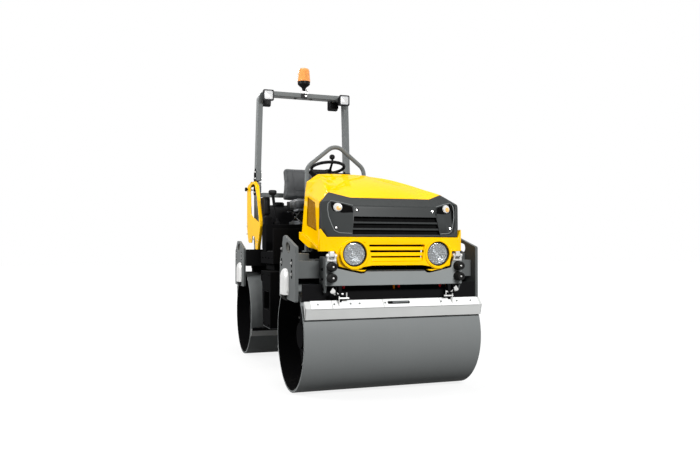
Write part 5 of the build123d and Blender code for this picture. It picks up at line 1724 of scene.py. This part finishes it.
# ---------------------------------------------------------------- seat
def padded_form(name, rings, cap, steps=20):
    """Swells a closed form as filled cloth, and keeps each point within a cap of its start."""
    form = Form()
    form.loft(rings)
    obj = form.object(name, width=0, smooth=180)
    modified(obj, "REMESH", mode="VOXEL", voxel_size=5.5 * MM)
    settled(obj)
    start = [vertex.co.copy() for vertex in obj.data.vertices]
    cloth = obj.modifiers.new("cloth", "CLOTH")
    cloth.settings.use_pressure = True
    cloth.settings.uniform_pressure_force = 4
    cloth.settings.effector_weights.gravity = 0
    cloth.settings.quality = 4
    cloth.settings.tension_stiffness = 20
    cloth.settings.bending_stiffness = 2
    cloth.point_cache.frame_end = steps + 1
    for moment in range(1, steps + 1):
        bpy.context.scene.frame_set(moment)
    settled(obj)
    bpy.context.scene.frame_set(1)
    for vertex, before in zip(obj.data.vertices, start):
        move = vertex.co - before
        if move.length > cap * MM:
            vertex.co = before + move.normalized() * cap * MM
    modified(obj, "SMOOTH", factor=0.5, iterations=4)
    settled(obj)
    return obj


def worked(obj, moves):
    """Moves each point by a function of its place in millimetres, along its normal."""
    normals = [vertex.normal.copy() for vertex in obj.data.vertices]
    for vertex, normal in zip(obj.data.vertices, normals):
        vertex.co += normal * moves(vertex.co / MM, normal) * MM
    return obj


def dip(distance, width):
    """1 on a line, falling smoothly to 0 at a width."""
    share = max(0.0, 1 - abs(distance) / width)
    return share * share * (3 - 2 * share)


def kept_inside(obj, node, spare):
    """Keeps a padded piece within its CAD box and a little more."""
    low, high = node_box(node)
    for vertex in obj.data.vertices:
        for part in range(3):
            vertex.co[part] = min(max(vertex.co[part], (low[part] - spare) * MM), (high[part] + spare) * MM)


def build_seat():
    """Seat: steel shell and suspension, a swelled cushion and back, with their seams."""
    build_seat_base()
    rings = []
    for z, inset in ((1264, 20), (1272, 10), (1300, 5), (1326, 9), (1338, 24), (1342, 44)):
        ring = []
        for x, y in box_outline((-246 + inset, 404 + inset), (246 - inset, 786 - inset), 70, 9):
            crown = 6 * dip(y - 404, 120) if z > 1330 else 0
            ring.append((x, y, z - crown))
        rings.append(ring)
    cushion = padded_form("seat_cushion_cover", rings, 12)

    def cushion_work(place, normal):
        top = max(0.0, normal.z)
        seam = dip(abs(place.x) - 168, 7) + dip(place.y - 470, 7) * (abs(place.x) < 168)
        side_roll = 5 * max(0.0, (abs(place.x) - 168) / 80)
        folds = 1.6 * sin(place.x * 0.05 + 2 * sin(place.y * 0.03)) * sin(place.y * 0.045 + place.x * 0.02)
        band = -1.6 * dip(place.z - 1318, 4) * (1 - top)
        return top * (side_roll - 4.5 * min(1.0, seam) + folds) + band

    worked(cushion, cushion_work)
    kept_inside(cushion, "seat_cushion", 2)
    soft_piece(cushion, "seat_cushion")
    rings = []
    for z, wide, front, back in (
        (1360, 236, 806, 856), (1366, 247, 799, 862), (1400, 250, 797, 864), (1460, 245, 803, 866),
        (1520, 241, 811, 871), (1580, 244, 820, 876), (1626, 245, 826, 880), (1645, 236, 831, 877),
        (1652, 218, 840, 870),
    ):
        ring = []
        for x, y in box_outline((-wide, front), (wide, back), 26, 7):
            curve = -14 * (abs(x) / 250) ** 2 if y < (front + back) / 2 else 0
            ring.append((x, y + curve + 6, z))
        rings.append(ring)
    back = padded_form("seat_back_cover", rings, 9)

    def back_work(place, normal):
        ahead = max(0.0, -normal.y)
        seam = dip(abs(place.x) - 150 - (place.z - 1500) * 0.12, 6) + dip(place.z - 1440, 6) * (abs(place.x) < 145)
        folds = 1.0 * sin(place.z * 0.05 + 2 * sin(place.x * 0.025))
        return ahead * (folds - 4.0 * min(1.0, seam))

    worked(back, back_work)
    kept_inside(back, "seat_back", 9)
    soft_piece(back, "seat_back")


def soft_piece(obj, node):
    for polygon in obj.data.polygons:
        polygon.use_smooth = True
    modified(obj, "SUBSURF", levels=1, render_levels=1)
    settled(obj)
    placed(obj, "rear_frame", "seat_vinyl", node)


def build_seat_base():
    """Suspension with its bellows, rails, the adjuster and the buckle."""
    base = Form()
    base.block((-200, 430, 1130), (200, 790, 1152))
    base.block((-218, 412, 1244), (218, 808, 1261))
    base.block((-206, 440, 1150), (-186, 780, 1162))
    base.block((186, 440, 1150), (206, 780, 1162))
    base.prism(((780, 1242), (880, 1242), (905, 1558), (890, 1560), (866, 1290), (800, 1262)), "x", -148, 148)
    base.piece("seat_frame_and_rails", "rear_frame", "seat_steel", "seat_base", width=2.5)
    bellows = Form()
    rings = []
    folds = 6
    for index in range(folds * 2 + 1):
        z = 1150 + index * 94 / (folds * 2)
        out = 178 if index % 2 else 160
        ring = box_outline((-out, 610 - out + 8), (out, 610 + out - 8), 34, 5)
        rings.append([(x, y, z) for x, y in ring])
    bellows.loft(rings)
    bellows.piece("seat_bellows", "rear_frame", "rubber", slot="black_plastic", width=1.0)
    arms = Form()
    for side in SIDES:
        x = side * 188
        for low, high in ((452, 760), (760, 452)):
            outline = [(low - 9, 1158), (low + 9, 1158), (high + 9, 1240), (high - 9, 1240)]
            arms.prism(outline, "x", x, x + side * 5)
    arms.rod((-200, 608, 1200), (200, 608, 1200), 7, 16)
    arms.rod((-216, 430, 1216), (-246, 426, 1216), 5, 14)
    arms.piece("seat_scissors", "rear_frame", "zinc", slot="seat_steel", width=1.0)
    controls = Form()
    controls.lathe(((0, 0), (0, 13), (6, 16), (20, 16), (24, 12), (24, 0)), (-236, 425, 1216), -X, 24)
    for side in SIDES:
        outline = softened(((560, 1258), (604, 1258), (600, 1330), (566, 1330)), 8)
        controls.prism(outline, "x", side * 252, side * 270)
        controls.block((side * 216, 572, 1246), (side * 262, 592, 1258))
    controls.piece("seat_controls", "rear_frame", "black_plastic", width=2.0)


def build_guards():
    """Padded hip guards on their stems."""
    guards = Form()
    for side in SIDES:
        rings = []
        for depth, inset in ((424, 7), (428, 2), (436, 0), (462, 0), (470, 2), (474, 7)):
            outline = box_outline((565 + inset, 1212 + inset), (825 - inset, 1370 - inset), 24, 6)
            rings.append([(side * depth, a, b) for a, b in outline])
        guards.loft(rings)
        guards.block((side * 427, 592, 1130), (side * 453, 628, 1216))
        guards.prism(box_outline((590, 1236), (800, 1346), 12), "x", side * 423, side * 425)
    guards.piece("hip_guard_pads", "rear_frame", "black_plastic", "hip_guards", width=1.5)


# ---------------------------------------------------------------- operators
class ROLLER_OT_materials(bpy.types.Operator):
    """Makes the finishes"""

    bl_idname = "roller.materials"
    bl_label = "Finishes"

    def execute(self, context):
        make_materials(context.scene.roller_colours)
        return {"FINISHED"}


class ROLLER_OT_drums(bpy.types.Operator):
    """Builds both drums with their ends and bolts"""

    bl_idname = "roller.drums"
    bl_label = "Drums"

    def execute(self, context):
        build_drums()
        return {"FINISHED"}


class ROLLER_OT_side_plates(bpy.types.Operator):
    """Builds the side plates and their hose covers"""

    bl_idname = "roller.side_plates"
    bl_label = "Side plates"

    def execute(self, context):
        build_side_plates()
        return {"FINISHED"}


class ROLLER_OT_frames(bpy.types.Operator):
    """Builds both frames, the joint between them, the buffers and the hinges"""

    bl_idname = "roller.frames"
    bl_label = "Frames and joint"

    def execute(self, context):
        build_frames()
        build_articulation()
        build_buffers()
        build_hinges()
        return {"FINISHED"}


class ROLLER_OT_engine(bpy.types.Operator):
    """Builds the engine under the hood"""

    bl_idname = "roller.engine"
    bl_label = "Engine"

    def execute(self, context):
        build_engine()
        return {"FINISHED"}


class ROLLER_OT_scrapers(bpy.types.Operator):
    """Builds the scrapers, their adjusters and the spray bars"""

    bl_idname = "roller.scrapers"
    bl_label = "Scrapers"

    def execute(self, context):
        build_scrapers()
        return {"FINISHED"}


class ROLLER_OT_hood(bpy.types.Operator):
    """Builds the hood's skin, its rear wall and the side mesh"""

    bl_idname = "roller.hood"
    bl_label = "Hood"

    def execute(self, context):
        build_hood()
        return {"FINISHED"}


class ROLLER_OT_nose(bpy.types.Operator):
    """Builds the mask, the grille, the bumper and the front lamps"""

    bl_idname = "roller.nose"
    bl_label = "Nose and front lamps"

    def execute(self, context):
        build_mask()
        build_bumper()
        return {"FINISHED"}


class ROLLER_OT_platform(bpy.types.Operator):
    """Builds the platform, the steps, the podium and the water tank"""

    bl_idname = "roller.platform"
    bl_label = "Platform"

    def execute(self, context):
        build_platform()
        return {"FINISHED"}


class ROLLER_OT_roll_bar(bpy.types.Operator):
    """Builds the side panels and the folding roll bar"""

    bl_idname = "roller.roll_bar"
    bl_label = "Roll bar"

    def execute(self, context):
        build_panels()
        build_roll_bar()
        return {"FINISHED"}


class ROLLER_OT_lamps(bpy.types.Operator):
    """Builds the work lamps, the beacon and the tail lamps"""

    bl_idname = "roller.lamps"
    bl_label = "Lamps and beacon"

    def execute(self, context):
        build_work_lamps()
        build_beacon()
        build_tail_lamps()
        return {"FINISHED"}


class ROLLER_OT_controls(bpy.types.Operator):
    """Builds the steering wheel, the dashboard, the handrail and the drive lever"""

    bl_idname = "roller.controls"
    bl_label = "Controls"

    def execute(self, context):
        build_wheel()
        build_dashboard()
        build_lever()
        return {"FINISHED"}


class ROLLER_OT_seat(bpy.types.Operator):
    """Builds the seat and the hip guards"""

    bl_idname = "roller.seat"
    bl_label = "Seat"

    def execute(self, context):
        build_seat()
        build_guards()
        return {"FINISHED"}


class ROLLER_OT_stage(bpy.types.Operator):
    """Builds the floor, the lamps and the camera"""

    bl_idname = "roller.stage"
    bl_label = "Stage"

    def execute(self, context):
        build_stage(context.scene.roller_studio)
        return {"FINISHED"}


STEPS = (
    ROLLER_OT_materials, ROLLER_OT_drums, ROLLER_OT_side_plates, ROLLER_OT_frames, ROLLER_OT_engine, ROLLER_OT_scrapers,
    ROLLER_OT_hood, ROLLER_OT_nose, ROLLER_OT_platform, ROLLER_OT_roll_bar, ROLLER_OT_lamps, ROLLER_OT_controls,
    ROLLER_OT_seat, ROLLER_OT_stage,
)


class ROLLER_PT_panel(bpy.types.Panel):
    """The roller's settings and steps"""

    bl_idname = "ROLLER_PT_panel"
    bl_label = "Road roller"
    bl_space_type = "VIEW_3D"
    bl_region_type = "UI"
    bl_category = "Roller"

    def draw(self, context):
        scene = context.scene
        for group in (scene.roller_colours, scene.roller_studio):
            column = self.layout.column(align=True)
            for key in group.bl_rna.properties.keys():
                if key not in {"rna_type", "name"}:
                    column.prop(group, key)
        for step in STEPS:
            self.layout.operator(step.bl_idname)


CLASSES = (RollerColours, RollerStudio, *STEPS, ROLLER_PT_panel)


def register():
    for kind in CLASSES:
        bpy.utils.register_class(kind)
    bpy.types.Scene.roller_colours = bpy.props.PointerProperty(type=RollerColours)
    bpy.types.Scene.roller_studio = bpy.props.PointerProperty(type=RollerStudio)


def unregister():
    del bpy.types.Scene.roller_studio
    del bpy.types.Scene.roller_colours
    for kind in reversed(CLASSES):
        bpy.utils.unregister_class(kind)


def main():
    register()
    for step in STEPS:
        group, name = step.bl_idname.split(".")
        getattr(getattr(bpy.ops, group), name)()


if __name__ == "__main__":
    main()
